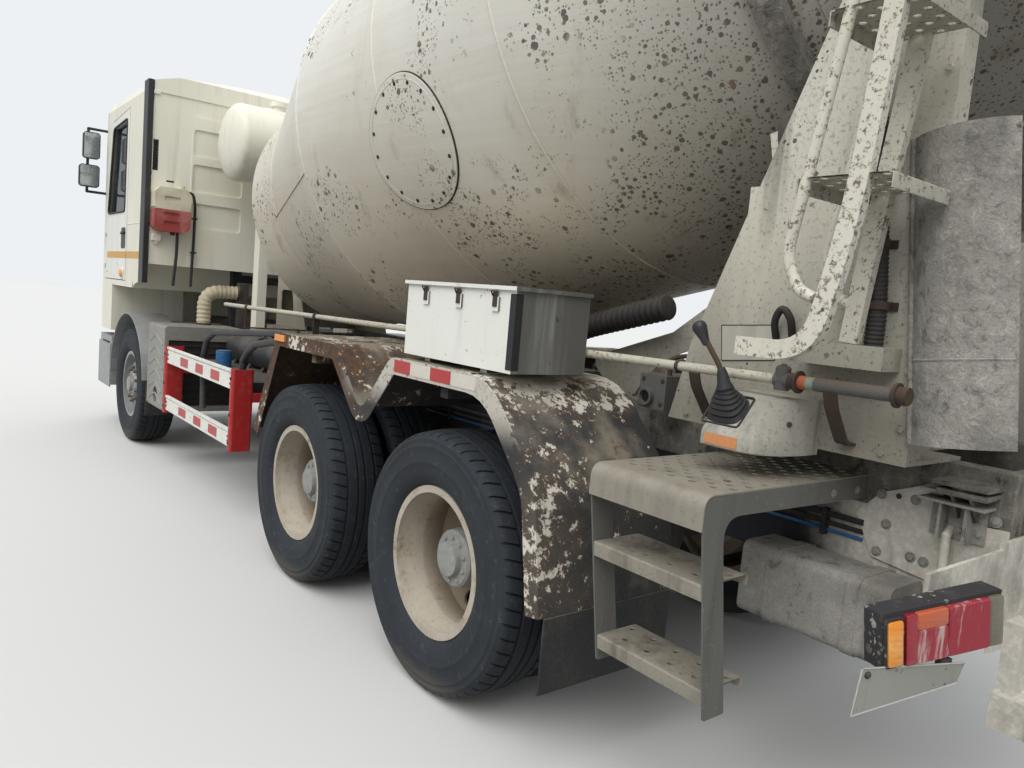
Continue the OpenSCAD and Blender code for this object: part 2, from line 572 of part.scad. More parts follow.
module water_tank() color("#e2dcc8") {
    translate([tank_x, 0, tank_z]) rotate([-90, 0, 0]) {
        rotate_extrude($fn = 64) polygon(concat(
            [for (a = [-90 : 15 : 0]) [a == -90 ? 0 : water_r * cos(a), tank_dome * sin(a) - water_l / 2]],
            [for (a = [0 : 15 : 90]) [a == 90 ? 0 : water_r * cos(a), tank_dome * sin(a) + water_l / 2]]));
        // Straps
        for (y = [-430, 370]) translate([0, 0, y]) cylinder(r = water_r + 5, h = 60, $fn = 64);
    }
    both_sides() block([tank_x - tank_leg[0], tank_leg[1], rail_top], [tank_x + tank_leg[0], tank_leg[2], tank_z - water_r + 40]);
    // Filler neck with its cap
    translate([tank_x, 300, tank_z + water_r - 20]) cylinder(r = 55, h = 60, $fn = 40);
    translate([tank_x, 300, tank_z + water_r + 35]) cylinder(r = 75, h = 35, $fn = 40);
}
plate_x0 = rear_axle_x - 675;
plate_x1 = rear_axle_x - 1515;
post_top = 2600;
arm_z = mouth_z + 272;
beam_z = [1900, 1990];
module rear_pedestal() color("#b9b5a3") {
    inner = plate_y - plate_t;
    both_sides() {
        along_y(inner, plate_y) polygon([
            [plate_x0, sub_top], [plate_x0 - 63, 1461], [plate_x0 - 480, post_top - 90], [plate_x0 - 520, post_top],
            [plate_x1, post_top], [plate_x1, sub_top]]);
        // Foot of the plate on the sub-frame
        block([plate_x1, rail_y - rail_w, sub_top], [plate_x0, plate_y, sub_top + 12]);
        // Gusset that runs forward, with an arch cut in it
        along_y(rail_y - 78, rail_y - 70) difference() {
            polygon([[plate_x0 + 1, sub_top], [plate_x0 + 620, sub_top], [plate_x0 + 740, sub_top + 105], [plate_x0 + 742, sub_top + 148],
                [plate_x0 + 307, 1491], [plate_x0 + 59, 1666], [plate_x0 - 200, 1666], [plate_x0 - 200, sub_top + 11], [plate_x0 + 1, sub_top + 11]]);
            translate([plate_x0 + 80, sub_top - 223]) circle(r = 466, $fn = 96);
        }
        // Rear post up to the hoppers
        block([plate_x1, plate_y - 80, sub_top + 12], [plate_x1 + 85, inner, post_top]);
        block([tail_x + 275, plate_y - 60, post_top - 80], [plate_x1 + 85, inner, post_top]);
        block([plate_x1 - 150, plate_y - 61, post_top - 80], [plate_x1 - 70, plate_y + 70, post_top]);
        block([plate_x1 - 150, plate_y, post_top - 80], [plate_x1 - 70, plate_y + 70, arm_z + 140]);
        block([tail_x + 275, plate_y, arm_z], [plate_x1 - 69, plate_y + 70, arm_z + 80]);
        // Channel that the ladder stands on
        block([rear_axle_x - 1465, plate_y - 1, 1455], [rear_axle_x - 1185, 805, 1520]);
        // Bearing blocks of the rollers
        in_drum() for (s = [-1, 1]) roller_place(1) translate([0, 0, s * (roller_w / 2 + 40)]) difference() {
            block([-60, -60, -25], [235, 60, 25]);
            translate([0, 0, -30]) cylinder(r = roller_pin_r + run_gap, h = 60, $fn = 40);
        }
    }
    // Box beam under the rollers
    block([drum_x + ring_s - 420, -inner, beam_z[0]], [drum_x + ring_s - 60, inner, beam_z[1]]);
    // Rear wall between the plates
    block([plate_x1 + 85, -inner, sub_top + 12], [plate_x1 + 97, inner, beam_z[0]]);
}
module roller_place(side) {
    d = ring_r + roller_r + run_gap;
    translate([d * cos(roller_deg), side * d * sin(roller_deg), ring_s]) children();
}
module drum_roller(side) color("#8a8680") in_drum() roller_place(side) {
    translate([0, 0, -roller_w / 2]) cylinder(r = roller_r, h = roller_w, $fn = 64);
    translate([0, 0, -roller_w / 2 - 70]) cylinder(r = roller_pin_r, h = roller_w + 140, $fn = 40);
}
function cone_r(s) = drum_r + (drum_r - mouth_r) * s / cone_l;
module drum_shell() color("#cfc8b4") in_drum() {
    t = drum_t;
    rotate_extrude($fn = 96) polygon([
        [mouth_r, -cone_l], [drum_r, 0], [drum_r, drum_cyl], [nose_r, drum_cyl + front_cone_l], [head_r, head_s],
        [head_r * 0.8, head_s + head_rise * 0.45], [head_r * 0.45, head_s + head_rise * 0.85], [150, head_s + head_rise],
        [0, head_s + head_rise], [0, head_s + head_rise - t], [150, head_s + head_rise - t],
        [head_r * 0.45, head_s + head_rise * 0.85 - t], [head_r * 0.8 - 4, head_s + head_rise * 0.45 - t],
        [head_r - t, head_s - t], [nose_r - t, drum_cyl + front_cone_l], [drum_r - t, drum_cyl], [drum_r - t, 0],
        [mouth_r - t, -cone_l]]);
    // Raised hatch on the left side
    hatch_shape();
}
hatch_s = 726;
hatch_deg = 66;
module hatch_shape() intersection() {
    rotate([0, 0, hatch_deg]) translate([drum_r - 40, 0, hatch_s]) rotate([0, 90, 0]) cylinder(r = hatch_r, h = 80, $fn = 64);
    difference() {
        cylinder(r = drum_r + 8, h = drum_cyl, $fn = 96);
        translate([0, 0, -1]) cylinder(r = drum_r - 2, h = drum_cyl + 2, $fn = 96);
    }
}
module drum_ring() color("#8f8c86") in_drum() rotate_extrude($fn = 96) let (a = ring_s - ring_w / 2, b = ring_s + ring_w / 2) polygon([
    [cone_r(a) + run_gap, a], [ring_r, a], [ring_r, b], [cone_r(b) + run_gap, b]]);
// Two blades wind along the inside of the drum
blade_s0 = -1450;
blade_s1 = 1500;
blade_turns = 1.1;
blade_steps = 26;
function wall_r(s) = (s < 0 ? cone_r(s - 5) : drum_r) - drum_t - run_gap;
module drum_blades() color("#8d8578") in_drum() for (start = [0, 180]) {
    n = blade_steps;
    pts = [for (i = [0 : n]) let (s = blade_s0 + (blade_s1 - blade_s0) * i / n, a = start + 360 * blade_turns * i / n, r = wall_r(s))
        for (p = [[r, -5], [r, 5], [r - blade_h, 5], [r - blade_h, -5]]) [p[0] * cos(a), p[0] * sin(a), s + p[1]]];
    polyhedron(pts, concat([[0, 1, 2], [0, 2, 3]],
        [for (i = [0 : n - 1], k = [0 : 3]) let (a = i * 4 + k, b = i * 4 + (k + 1) % 4) each [[a, b + 4, b], [a, a + 4, b + 4]]],
        [[n * 4, n * 4 + 2, n * 4 + 1], [n * 4, n * 4 + 3, n * 4 + 2]]));
}

// Hoppers, chute, ladder and controls
module funnel(top, bottom, t) difference() {
    hull() for (p = [top, bottom]) block([p[0], -p[2], p[3]], [p[1], p[2], p[3] + 2]);
    hull() for (p = [top, bottom]) block([p[0] + t, -p[2] + t, p[3] + (p == top ? 3 : -3)], [p[1] - t, p[2] - t, p[3] + (p == top ? 4 : 0)]);
}
feed_top = mouth_z + 660;
feed_neck = mouth_z + 272;
module feed_hopper() color("#c6c0ad") {
    funnel([tail_x + 5, mouth_x + 110, 470, feed_top], [tail_x + 170, mouth_x - 60, 190, feed_neck], 8);
    // Flange round the rim
    difference() {
        block([tail_x, -490, feed_top - 40], [mouth_x + 130, 490, feed_top + 2]);
        block([tail_x + 13, -462, feed_top - 50], [mouth_x + 102, 462, feed_top + 10]);
    }
    difference() {
        hull() {
            block([tail_x + 170, -190, feed_neck], [mouth_x - 60, 190, feed_neck + 2]);
            block([mouth_x + 40, -150, mouth_z - 60], [mouth_x + 120, 150, mouth_z - 58]);
        }
        hull() {
            block([tail_x + 178, -182, feed_neck + 2], [mouth_x - 68, 182, feed_neck + 10]);
            block([mouth_x + 48, -142, mouth_z - 64], [mouth_x + 112, 142, mouth_z - 59]);
        }
    }
    both_sides() block([tail_x + 200, 300, arm_z + 100], [tail_x + 280, plate_y + 40, arm_z + 160]);
    both_sides() block([tail_x + 278, plate_y, arm_z + 80], [tail_x + 360, plate_y + 60, arm_z + 160]);
}
spout_z = mouth_z - 1038;
lip_z = mouth_z - 288;
ear_z = mouth_z - 688;
module discharge_hopper() color("#9a958a") difference() {
    union() {
        hull() {
            block([tail_x + 15, -540, lip_z], [tail_x + 35, 540, lip_z + 2]);
            block([mouth_x - 110, -540, ear_z], [mouth_x - 90, 540, ear_z + 2]);
            block([tail_x + 190, -200, spout_z], [mouth_x - 60, 200, spout_z + 2]);
        }
        // Ears on the pedestal's arms
        both_sides() block([mouth_x - 170, 480, ear_z - 40], [mouth_x - 100, plate_y - 60, ear_z]);
    }
    hull() {
        block([tail_x + 25, -530, lip_z + 3], [tail_x + 45, 530, lip_z + 12]);
        block([mouth_x - 120, -530, ear_z + 3], [mouth_x - 100, 530, ear_z + 12]);
        block([tail_x + 200, -190, spout_z - 10], [mouth_x - 70, 190, spout_z - 1]);
    }
}
swivel_x = tail_x + 275;
swivel_top = 1500;
pin_z = 1980;
module rear_bumper() color("#8c877c") {
    // Brackets and the post that carries the chute
    both_sides() block([swivel_x - 85, 120, 900], [frame_tail_x - 12, 132, 1000]);
    block([swivel_x - 100, -132, 900], [swivel_x + 100, 132, 1000]);
    translate([swivel_x, 0, 999]) cylinder(r = 60, h = swivel_top - 999, $fn = 48);
    // Underrun bar
    block([frame_tail_x - 112, -rail_y, 480], [frame_tail_x - 12, rail_y, 580]);
    both_sides() block([frame_tail_x - 60, 300, 580], [frame_tail_x - 12, 400, rail_bottom + 20]);
    // Bolted plates over the rails' ends, with a bent pipe stub
    both_sides() along_y(rail_y, rail_y + 10) difference() {
        translate([frame_tail_x, 0]) polygon([[0, 845], [199, 838], [368, 858], [436, 985], [361, 1067], [246, 1114], [0, 1090]]);
        polygon(box2([mount_x[0] - 106, rail_top + 22], [mount_x[0] + 78, rail_top + 200]));
    }
    bent_bar([[frame_tail_x + 150, rail_y + 9, 1010], [frame_tail_x + 145, rail_y + 45, 995], [frame_tail_x + 140, rail_y + 55, 890]], 13);
    // Lamp brackets
    both_sides() block([frame_tail_x - 12, rail_y + 60, 830], [frame_tail_x, 930, 1000]);
    both_sides() tail_lamp_frame() block([30, -60, -40], [60, 60, 40]);
}
module chute_swivel() color("#7f7b73") {
    arm = chute_w / 2 + 35;
    difference() {
        union() {
            translate([swivel_x, 0, swivel_top - 300]) cylinder(r = 85, h = 330, $fn = 48);
            for (s = [-1, 1]) block([swivel_x + s * arm - 15, -40, swivel_top + 30], [swivel_x + s * arm + 15, 40, pin_z + 40]);
            block([swivel_x - arm - 15, -40, swivel_top + 29], [swivel_x + arm + 15, 40, swivel_top + 60]);
        }
        translate([swivel_x, 0, swivel_top - 301]) cylinder(r = 60 + run_gap, h = 301 + run_gap, $fn = 48);
        translate([swivel_x - arm - 20, 0, pin_z]) rotate([0, 90, 0]) cylinder(r = 16 + run_gap, h = 2 * arm + 40, $fn = 32);
    }
}
chute_slope = 12;
module chute() color("#8f8b82") translate([swivel_x, 0, pin_z]) rotate([90 + chute_slope, 0, 0]) {
    // The trough runs along its own +Z, open side up
    r = chute_w / 2;
    difference() {
        translate([0, 20, -160]) difference() {
            cylinder(r = r, h = chute_l, $fn = 64);
            translate([0, 0, -1]) cylinder(r = r - chute_t, h = chute_l + 2, $fn = 64);
        }
        block([-r - 10, 20, -200], [r + 10, r * 3, chute_l + 50]);
    }
    for (s = [-1, 1]) translate([s > 0 ? r - 5 : -r - 50, 0, 0]) rotate([0, 90, 0]) cylinder(r = 16, h = 55, $fn = 32);
}
spare_half = 130;
spare_bulge = 60;
spare_l = 820;
spare_x = rear_axle_x - 1600;
spare_z = 1690;
module spare_chute() color("#86837b") {
    r = (spare_half * spare_half + spare_bulge * spare_bulge) / (2 * spare_bulge);
    edge = r - spare_bulge;
    translate([spare_x, plate_y + 66 - r, spare_z]) rotate([0, 7, 0]) {
        difference() {
            translate([0, 0, -spare_l / 2]) cylinder(r = r, h = spare_l, $fn = 64);
            translate([0, 0, -spare_l / 2 - 1]) cylinder(r = r - chute_t, h = spare_l + 2, $fn = 64);
            block([-r - 1, -r - 1, -spare_l], [r + 1, edge, spare_l]);
        }
        // Rolled edge, and the bar that it is lifted by
        translate([spare_half - 3, edge + 3, -spare_l / 2]) cylinder(r = 9, h = spare_l, $fn = 32);
        translate([-spare_half, edge + 3, spare_l / 2 - 20]) rotate([0, 90, 0]) cylinder(r = 9, h = 2 * spare_half, $fn = 32);
    }
    // Hook that it hangs from
    block([plate_x1 - 25, plate_y, 2050], [plate_x1 + 20, plate_y + 54, 2065]);
}
ladder_in_y = 790;
ladder_out_y = 1050;
tread_step = 400;
rail_bar = 30;
module tread_shape(x, z) polygon([[x - 125, z - 38], [x - 125, z], [x + 125, z], [x + 125, z - 38], [x + 120, z - 38],
                                  [x + 120, z - 5], [x - 120, z - 5], [x - 120, z - 38]]);
module ladder() color("#d2cdbb") translate([rear_axle_x, 0, 0]) {
    half = rail_bar / 2;
    along_y(ladder_out_y - half, ladder_out_y + half)
        polygon(strip(smooth([[-1186, 1492], [-1400, 1492], [-1471, 1824], [-1511, 2320], [-1605, 3400]], [160, 600, 900]), 60));
    along_y(ladder_in_y - half, ladder_in_y + half)
        polygon(strip([[-1361, 1524], [-1380, 1724], [-1458, 2410], [-1545, 3400]], 60));
    // Treads are channels between the rails
    for (i = [0 : 3]) let (z = 1930 + i * tread_step, x = -1440 - (z - 1930) * 0.087)
        along_y(ladder_in_y - half + 1, ladder_out_y + half - 1) tread_shape(x, z);
    // Stay to the pedestal
    bar([-1205, 805, 1492], [-1205, ladder_out_y - 10, 1492], 14);
    // Hand rails
    for (h = [[ladder_out_y, 0], [ladder_in_y, 45]]) bent_bar([[-1394 + h[1], h[0], 1630], [-1345 + h[1], h[0], 1650],
        [-1303 + h[1], h[0], 1735], [-1402 + h[1], h[0], 2347], [-1500 + h[1], h[0], 3350], [-1590 + h[1], h[0], 3350]], 16);
}
rod_a = [rear_axle_x - 1560, 1402];
rod_b = [front_ped_x0 + 250, 1350];
function rod_z(x) = rod_a[1] + (rod_b[1] - rod_a[1]) * (x - rod_a[0]) / (rod_b[0] - rod_a[0]);
lever_x = rear_axle_x - 1110;
lever_top = [lever_x, 930, 1363];
knob_at = [lever_x + 152, 965, 1535];
hose_r = 26;
module control_stand() color("#b7b4a6") {
    // Housing of the lever: a folded cover with a sloping face for the boot
    along_x(lever_x - 162, lever_x + 91)
        polygon(smooth([[plate_y, 1182], [960, 1182], [960, 1225], [868, 1335], [plate_y, 1345]], [6, 24, 30]));
    hull() {
        translate([lever_x, 914, 1280]) rotate([-50, 0, 0]) block([-81, -66, 0], [81, 66, 3]);
        translate(lever_top) block([-28, -18, -6], [28, 18, 0]);
    }
    bent_bar([lever_top - [0, 0, 4], lever_top + [70, 14, 44], knob_at], 10);
    translate(knob_at) sphere(r = 24, $fn = 32);
    // Long rod from the cab, with the cranked brackets that hold it
    bar([rod_a[0], 830, rod_a[1]], [rod_b[0], 830, rod_b[1]], 16);
    for (x = [rear_axle_x - 880, rear_axle_x - 1350]) along_x(x - 20, x + 20)
        polygon(band([[plate_y, 1235], [plate_y + 40, 1235], [822, rod_z(x) - 60], [840, rod_z(x) - 14]], -4, 4));
    for (x = [mid_axle_x + 700, front_ped_x0 - 250]) {
        block([x - 20, rail_y - 50, sub_top], [x + 20, 850, sub_top + 10]);
        block([x - 4, 810, sub_top], [x + 4, 850, rod_z(x) - 10]);
    }
    // Block with a round port, on the sub-frame
    block([rear_axle_x - 565, rail_y - 64, sub_top], [rear_axle_x - 435, 600, 1330]);
    translate([rear_axle_x - 480, 599, 1245]) rotate([-90, 0, 0]) difference() {
        cylinder(r = 34, h = 22, $fn = 40);
        translate([0, 0, 6]) cylinder(r = 24, h = 22, $fn = 40);
    }
    // Dark hose down the plate, in two clamps
    bent_bar([for (p = [[-1330, 2180], [-1385, 1800], [-1405, 1600], [-1405, 1520]]) [rear_axle_x + p[0], 745, p[1]]], hose_r);
    for (p = [[-1405, 1620], [-1382, 1790]]) block([rear_axle_x + p[0] - 14, plate_y, p[1]], [rear_axle_x + p[0] + 14, 745, p[1] + 24]);
}
tank_profile = [[rail_y + 15, 600], [645, 600], [645, 840], [rail_y + 15, 840]];
module rear_tank() color("#8c877c") {
    x0 = frame_tail_x + 200;
    along_x(x0, x0 + 495) polygon(soft(tank_profile, 30));
    // Straps and hangers on the rail
    for (x = [x0 + 90, x0 + 360]) {
        along_x(x, x + 40) polygon(soft([for (p = tank_profile) p + [p[0] > 500 ? 4 : -4, p[1] > 700 ? 4 : -4]], 33));
        block([x, rail_y, 780], [x + 40, rail_y + 16, 834]);
    }
}
// Bellows hose from the silencer's box up to its bracket, and the ribbed hose beside the pedestal
bellows_r = 60;
bellows_at = [front_axle_x - 800, 785];
bellows_bend = 140;
module intake_hose() color("#c8bfa6") {
    x = bellows_at[0];
    z = silencer_top + 150;
    bent_bar(concat([[x, bellows_at[1], silencer_top]],
        [for (p = arc([bellows_at[1] - bellows_bend, z], bellows_bend, 0, 90, 4)) [x, p[0], p[1]]],
        [[x, 500, z + bellows_bend]]), bellows_r);
    block([x - 40, rail_y - 10, rail_top], [x + 40, 501, z + bellows_bend + 90]);
    // Ribbed hose
    bent_bar([for (p = [[565, 390, sub_top], [565, 390, 1290], [75, 470, 1466], [-435, 480, 1590]]) [rear_axle_x + p[0], p[1], p[2]]], 52);
}

// Cab
function cab_side(t) = concat(
    [[cab_back + t, cab_rear_z + t], [cab_back + t, roof_z - 60 - t], [cab_back + 80 + t, roof_z - t], [cab_front - 330 - t, roof_z - t],
     [cab_front - 230 - t, brow_z - t], [cab_front - 20 - t, 2000], [cab_front - t, 1900], [cab_front - t, 960 + t],
     [front_axle_x + arch_r + 15 + t, 960 + t], [front_axle_x + arch_r + 15 + t, cab_floor_z + t],
     [cab_back + 400 + t, cab_floor_z + t], [cab_back + 310 + t, cab_rear_z + t]]);
function cab_plan(t) = let (h = cab_w / 2 - t, x1 = cab_front - t) concat(
    [[cab_back + t, -h]], arc([x1 - 220, 220 - h], 220, -90, 0, 6), arc([x1 - 220, h - 220], 220, 0, 90, 6), [[cab_back + t, h]]);
// The roof is crowned: its outline across the truck, for both sides
function cab_cross(t) = let (h = cab_w / 2 - t, half = [[h, 900], [h, roof_z - 190], [h - 30, roof_z - 120 - t], [h - 220, roof_z - 65 - t],
    [h - 720, roof_z - 15 - t], [0, roof_z - t]]) concat([for (p = half) p], [for (i = [4 : -1 : 0]) [-half[i][0], half[i][1]]]);
tunnel_y = 560;
tilt_x = front_x - 125;
tilt_y = tunnel_y + 2;
tilt_z = 880;
module cab_solid(t) difference() {
    intersection() {
        along_y(-cab_w / 2 - 20, cab_w / 2 + 20) polygon(cab_side(t));
        along_z(900, roof_z + 20) polygon(cab_plan(t));
        along_x(cab_back - 20, cab_front + 20) polygon(cab_cross(t));
    }
    // Tunnel over the frame and the engine, closed in front by the grille's panel
    block([cab_back, -tunnel_y - t, 800], [cab_front - wall_t + t, tunnel_y + t, cab_floor_z + t]);
}
door_x1 = cab_front - 275;
door_x0 = door_x1 - 900;
door_z = 1450;
function door_line(g) = [[door_x1 - g, door_z + g], [door_x1 - g, 1990], [door_x1 - 190 - g, 2950 - g], [door_x0 + g, 3000 - g], [door_x0 + g, door_z + g]];
function door_window(g) = [[door_x1 - 90 - g, 2080 + g], [door_x1 - 250 - g, 2880 - g], [door_x0 + 90 + g, 2910 - g], [door_x0 + 90 + g, 2080 + g]];
screen_z0 = 2080;
screen_z1 = 2980;
module screen_hole(g) block([cab_front - 420, -1060 + g, screen_z0 + g], [cab_front + 50, 1060 - g, screen_z1 - g]);
// Hinge knuckles stand on the outer face at the door's front edge
hinge_rows = [1560, 1860];
hinge_r = 11;
hinge_h = 40;
module hinge(parts) for (z = hinge_rows, i = parts)
    translate([door_x1, cab_w / 2, z + i * hinge_h + (i > 0 ? run_gap : i < 0 ? -run_gap : 0)]) cylinder(r = hinge_r, h = hinge_h, $fn = 24);
// Pressed panels in the rear wall: three rows on each side of the middle
panel_t = 10;
panel_y = [430, 858];
panel_rows = [[1960, 2173], [2267, 2503], [2570, 2794]];
grille_rows = [1080, 1180, 1280, 1560, 1660, 1760];
module rear_relief() {
    block([cab_back - panel_t, -870, cab_rear_z], [cab_back + 1, 870, 2900]);
    // Lip under the roof
    intersection() {
        translate([-panel_t, 0, 0]) cab_solid(0);
        block([cab_back - panel_t, -1185, 3040], [cab_back + 1, 1185, roof_z]);
    }
}
module roof_ribs() intersection() {
    cab_solid(-12);
    for (y = [-840, -360, 120, 600]) block([cab_back + 120, y, roof_z - 140], [cab_front - 420, y + 240, roof_z + 12]);
}
module cab_shell() color("#e6e0cc") {
    difference() {
        union() {
            cab_solid(0);
            rear_relief();
            roof_ribs();
        }
        cab_solid(wall_t);
        both_sides() {
            along_y(cab_w / 2 - wall_t - 20, cab_w / 2 + 5) polygon(door_line(0));
            for (z = panel_rows) along_x(cab_back - panel_t - 1, cab_back + 6)
                polygon(soft([[panel_y[0], z[0]], [panel_y[1], z[0]], [panel_y[1], z[1]], [panel_y[0], z[1]]], 28));
            // Upright vent and the slot over the expansion tank
            block([cab_back - 1, 1136, 2400], [cab_back + 18, 1180, 2655]);
            block([cab_back - 1, 1004, 2318], [cab_back + 14, 1066, 2334]);
        }
        screen_hole(0);
        both_sides() for (z = hinge_rows) translate([door_x1, cab_w / 2, z - 1]) cylinder(r = hinge_r + 3, h = hinge_h + 2, $fn = 24);
        // Grille slots in the front panel
        for (z = grille_rows) block([cab_front - 28, -700, z], [cab_front + 1, 700, z + 60]);
    }
    both_sides() {
        hinge([-1, 1]);
        // Arm down to the pin that the cab tilts on
        difference() {
            union() {
                block([tilt_x - 30, tilt_y, tilt_z], [tilt_x + 30, tilt_y + 40, 961]);
                bar([tilt_x, tilt_y, tilt_z], [tilt_x, tilt_y + 40, tilt_z], 30);
            }
            bar([tilt_x, tilt_y - 1, tilt_z], [tilt_x, tilt_y + 41, tilt_z], 20 + run_gap);
        }
        // Quarter panel behind the wheel arch
        along_y(cab_w / 2 - 12, cab_w / 2) polygon(concat([[cab_back, 1700], [cab_back, 1465]],
            [for (a = [-80 : 16 : 0]) [cab_back + 60 + 330 * cos(a) * 0.9, 1400 - 60 * sin(a)]], [[cab_back + 420, 1700]]));
    }
}
module cab_glass() color("#5a6a70", 0.4) intersection() {
    difference() {
        cab_solid(20);
        cab_solid(20 + glass_t);
    }
    screen_hole(0);
}
module door_shape(side) mirror([0, (1 - side) / 2, 0]) {
    difference() {
        along_y(cab_w / 2 - wall_t, cab_w / 2) polygon(door_line(door_gap));
        along_y(cab_w / 2 - wall_t - 1, cab_w / 2 + 1) polygon(door_window(0));
        for (z = hinge_rows, dz = [-hinge_h - 2, hinge_h]) translate([door_x1, cab_w / 2, z + dz]) cylinder(r = hinge_r + 3, h = hinge_h + 2, $fn = 24);
    }
    hinge([0]);
    for (z = hinge_rows) block([door_x1 - 30, cab_w / 2 - 1, z], [door_x1, cab_w / 2 + 6, z + hinge_h]);
}
module door_glass(side) mirror([0, (1 - side) / 2, 0]) along_y(cab_w / 2 - 35, cab_w / 2 - 35 + glass_t) polygon(door_window(0));
module cab_interior() color("#3b3f45") {
    for (y = [-620, 620]) {
        block([cab_back + 700, y - 250, cab_floor_z + wall_t], [cab_back + 1150, y + 250, 1800]);
        block([cab_back + 620, y - 240, 1700], [cab_back + 740, y + 240, 2500]);
    }
    block([cab_front - 480, -880, 1700], [cab_front - wall_t - 10, 880, 1950]);
    block([cab_back + wall_t, -1100, cab_rear_z + wall_t], [cab_back + 360, 1100, 1900]);
}
module mirrors() color("#1c1c1c") {
    x = door_x1 + 65;
    both_sides() {
        bent_bar([[x, cab_w / 2, 2285], [x, cab_w / 2 + 170, 2285], [x, cab_w / 2 + 170, 2890], [x, cab_w / 2, 2890]], 13);
        // Wide-angle glass below, main glass above
        for (m = [[72, 250, 2325, 2540], [72, 222, 2598, 2852]]) along_x(x - 65, x - 13)
            polygon(soft([[cab_w / 2 + m[0], m[2]], [cab_w / 2 + m[1], m[2]], [cab_w / 2 + m[1], m[3]], [cab_w / 2 + m[0], m[3]]], 30));
        // Rubber strip round the cab's rear corner
        along_z(1457, roof_z - 120) translate([cab_back, cab_w / 2]) polygon([[-14, -30], [-14, 10], [-4, 14], [125, 14], [125, run_gap],
            [-run_gap, run_gap], [-run_gap, -30]]);
    }
    // Sun visor over the windscreen
    along_y(-1000, 1000) translate([cab_front - 230, brow_z]) polygon([[6.6, -33], [110, -85], [160, -170], [154, -170], [105, -92], [9, -45]]);
}
module expansion_tank() color("#c4574a") {
    y0 = 895;
    y1 = 1184;
    z0 = 1900;
    z1 = 2262;
    waist = 2085;
    difference() {
        along_x(cab_back - 145, cab_back) polygon(concat(
            [[y0, waist + 12], [y0, z1 - 40], [y0 + 40, z1], [y1 - 40, z1], [y1, z1 - 40], [y1, waist + 12], [y1 - 12, waist], [y1, waist - 12]],
            arc([y1 - 60, z0 + 60], 60, 0, -90, 5), arc([y0 + 60, z0 + 60], 60, 270, 180, 5), [[y0, waist - 12], [y0 + 12, waist]]));
        // Three recesses in its face
        for (z = [[2150, 2190], [2030, 2058], [1950, 1985]]) block([cab_back - 146, y0 + 90, z[0]], [cab_back - 132, y1 - 75, z[1]]);
    }
    translate([cab_back - 75, y0 + 70, z1 - 1]) cylinder(r = 32, h = 30, $fn = 40);
}

frame();
subframe();
axles();
springs();
powertrain();
front_end();
lamps();
side_guards();
battery_box();
tube_guard();
fuel_tank();
silencer();
rear_fenders();
mudflaps();
toolbox();
toolbox_lid();
platform_steps();
front_pedestal();
drum_gearbox();
water_tank();
rear_pedestal();
feed_hopper();
discharge_hopper();
ladder();
control_stand();
rear_tank();
rear_bumper();
spare_chute();
intake_hose();
cab_shell();
cab_glass();
cab_interior();
mirrors();
expansion_tank();
color("#e6e0cc") door_shape(1);  // door_left
color("#e6e0cc") door_shape(-1);  // door_right
color("#5a6a70", 0.4) door_glass(1);  // door_glass_left
color("#5a6a70", 0.4) door_glass(-1);  // door_glass_right
drum_shell();
drum_ring();
drum_blades();
drum_roller(1);  // drum_roller_left
drum_roller(-1);  // drum_roller_right
chute_swivel();
chute();
knuckle(1);  // knuckle_left
knuckle(-1);  // knuckle_right
front_tyre(1);  // front_tyre_left
front_tyre(-1);  // front_tyre_right
front_rim(1);  // front_rim_left
front_rim(-1);  // front_rim_right
twin_tyres(mid_axle_x, 1);  // mid_tyres_left
twin_tyres(mid_axle_x, -1);  // mid_tyres_right
twin_rims(mid_axle_x, 1);  // mid_rims_left
twin_rims(mid_axle_x, -1);  // mid_rims_right
twin_tyres(rear_axle_x, 1);  // rear_tyres_left
twin_tyres(rear_axle_x, -1);  // rear_tyres_right
twin_rims(rear_axle_x, 1);  // rear_rims_left
twin_rims(rear_axle_x, -1);  // rear_rims_right
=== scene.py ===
"""Finishes and fittings of a three-axle concrete mixer truck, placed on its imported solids."""
import json
import math

import bmesh
import bpy
from bpy.props import FloatProperty, FloatVectorProperty, IntProperty, PointerProperty
from mathutils import Matrix, Vector


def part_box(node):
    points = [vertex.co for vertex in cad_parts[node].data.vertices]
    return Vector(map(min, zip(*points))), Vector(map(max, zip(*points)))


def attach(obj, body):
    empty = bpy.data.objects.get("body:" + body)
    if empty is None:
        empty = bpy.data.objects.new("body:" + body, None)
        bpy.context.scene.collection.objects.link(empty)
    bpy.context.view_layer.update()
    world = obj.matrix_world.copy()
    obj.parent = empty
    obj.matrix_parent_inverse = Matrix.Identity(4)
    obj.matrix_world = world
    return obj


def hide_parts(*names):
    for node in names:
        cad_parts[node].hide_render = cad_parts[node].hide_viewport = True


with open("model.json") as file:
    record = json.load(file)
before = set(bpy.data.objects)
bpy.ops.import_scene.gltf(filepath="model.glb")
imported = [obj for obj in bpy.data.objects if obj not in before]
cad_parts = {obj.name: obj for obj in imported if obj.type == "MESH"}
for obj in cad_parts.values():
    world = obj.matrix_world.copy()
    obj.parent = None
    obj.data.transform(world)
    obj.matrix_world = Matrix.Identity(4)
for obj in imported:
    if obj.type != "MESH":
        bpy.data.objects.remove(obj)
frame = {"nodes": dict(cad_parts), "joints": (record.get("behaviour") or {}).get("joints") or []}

bl_info = {
    "name": "Concrete Mixer Truck",
    "version": (1, 0, 0),
    "blender": (4, 5, 0),
    "location": "3D View > Sidebar > Mixer",
    "description": "Finishes and fittings of a concrete mixer truck",
    "category": "Add Mesh",
}

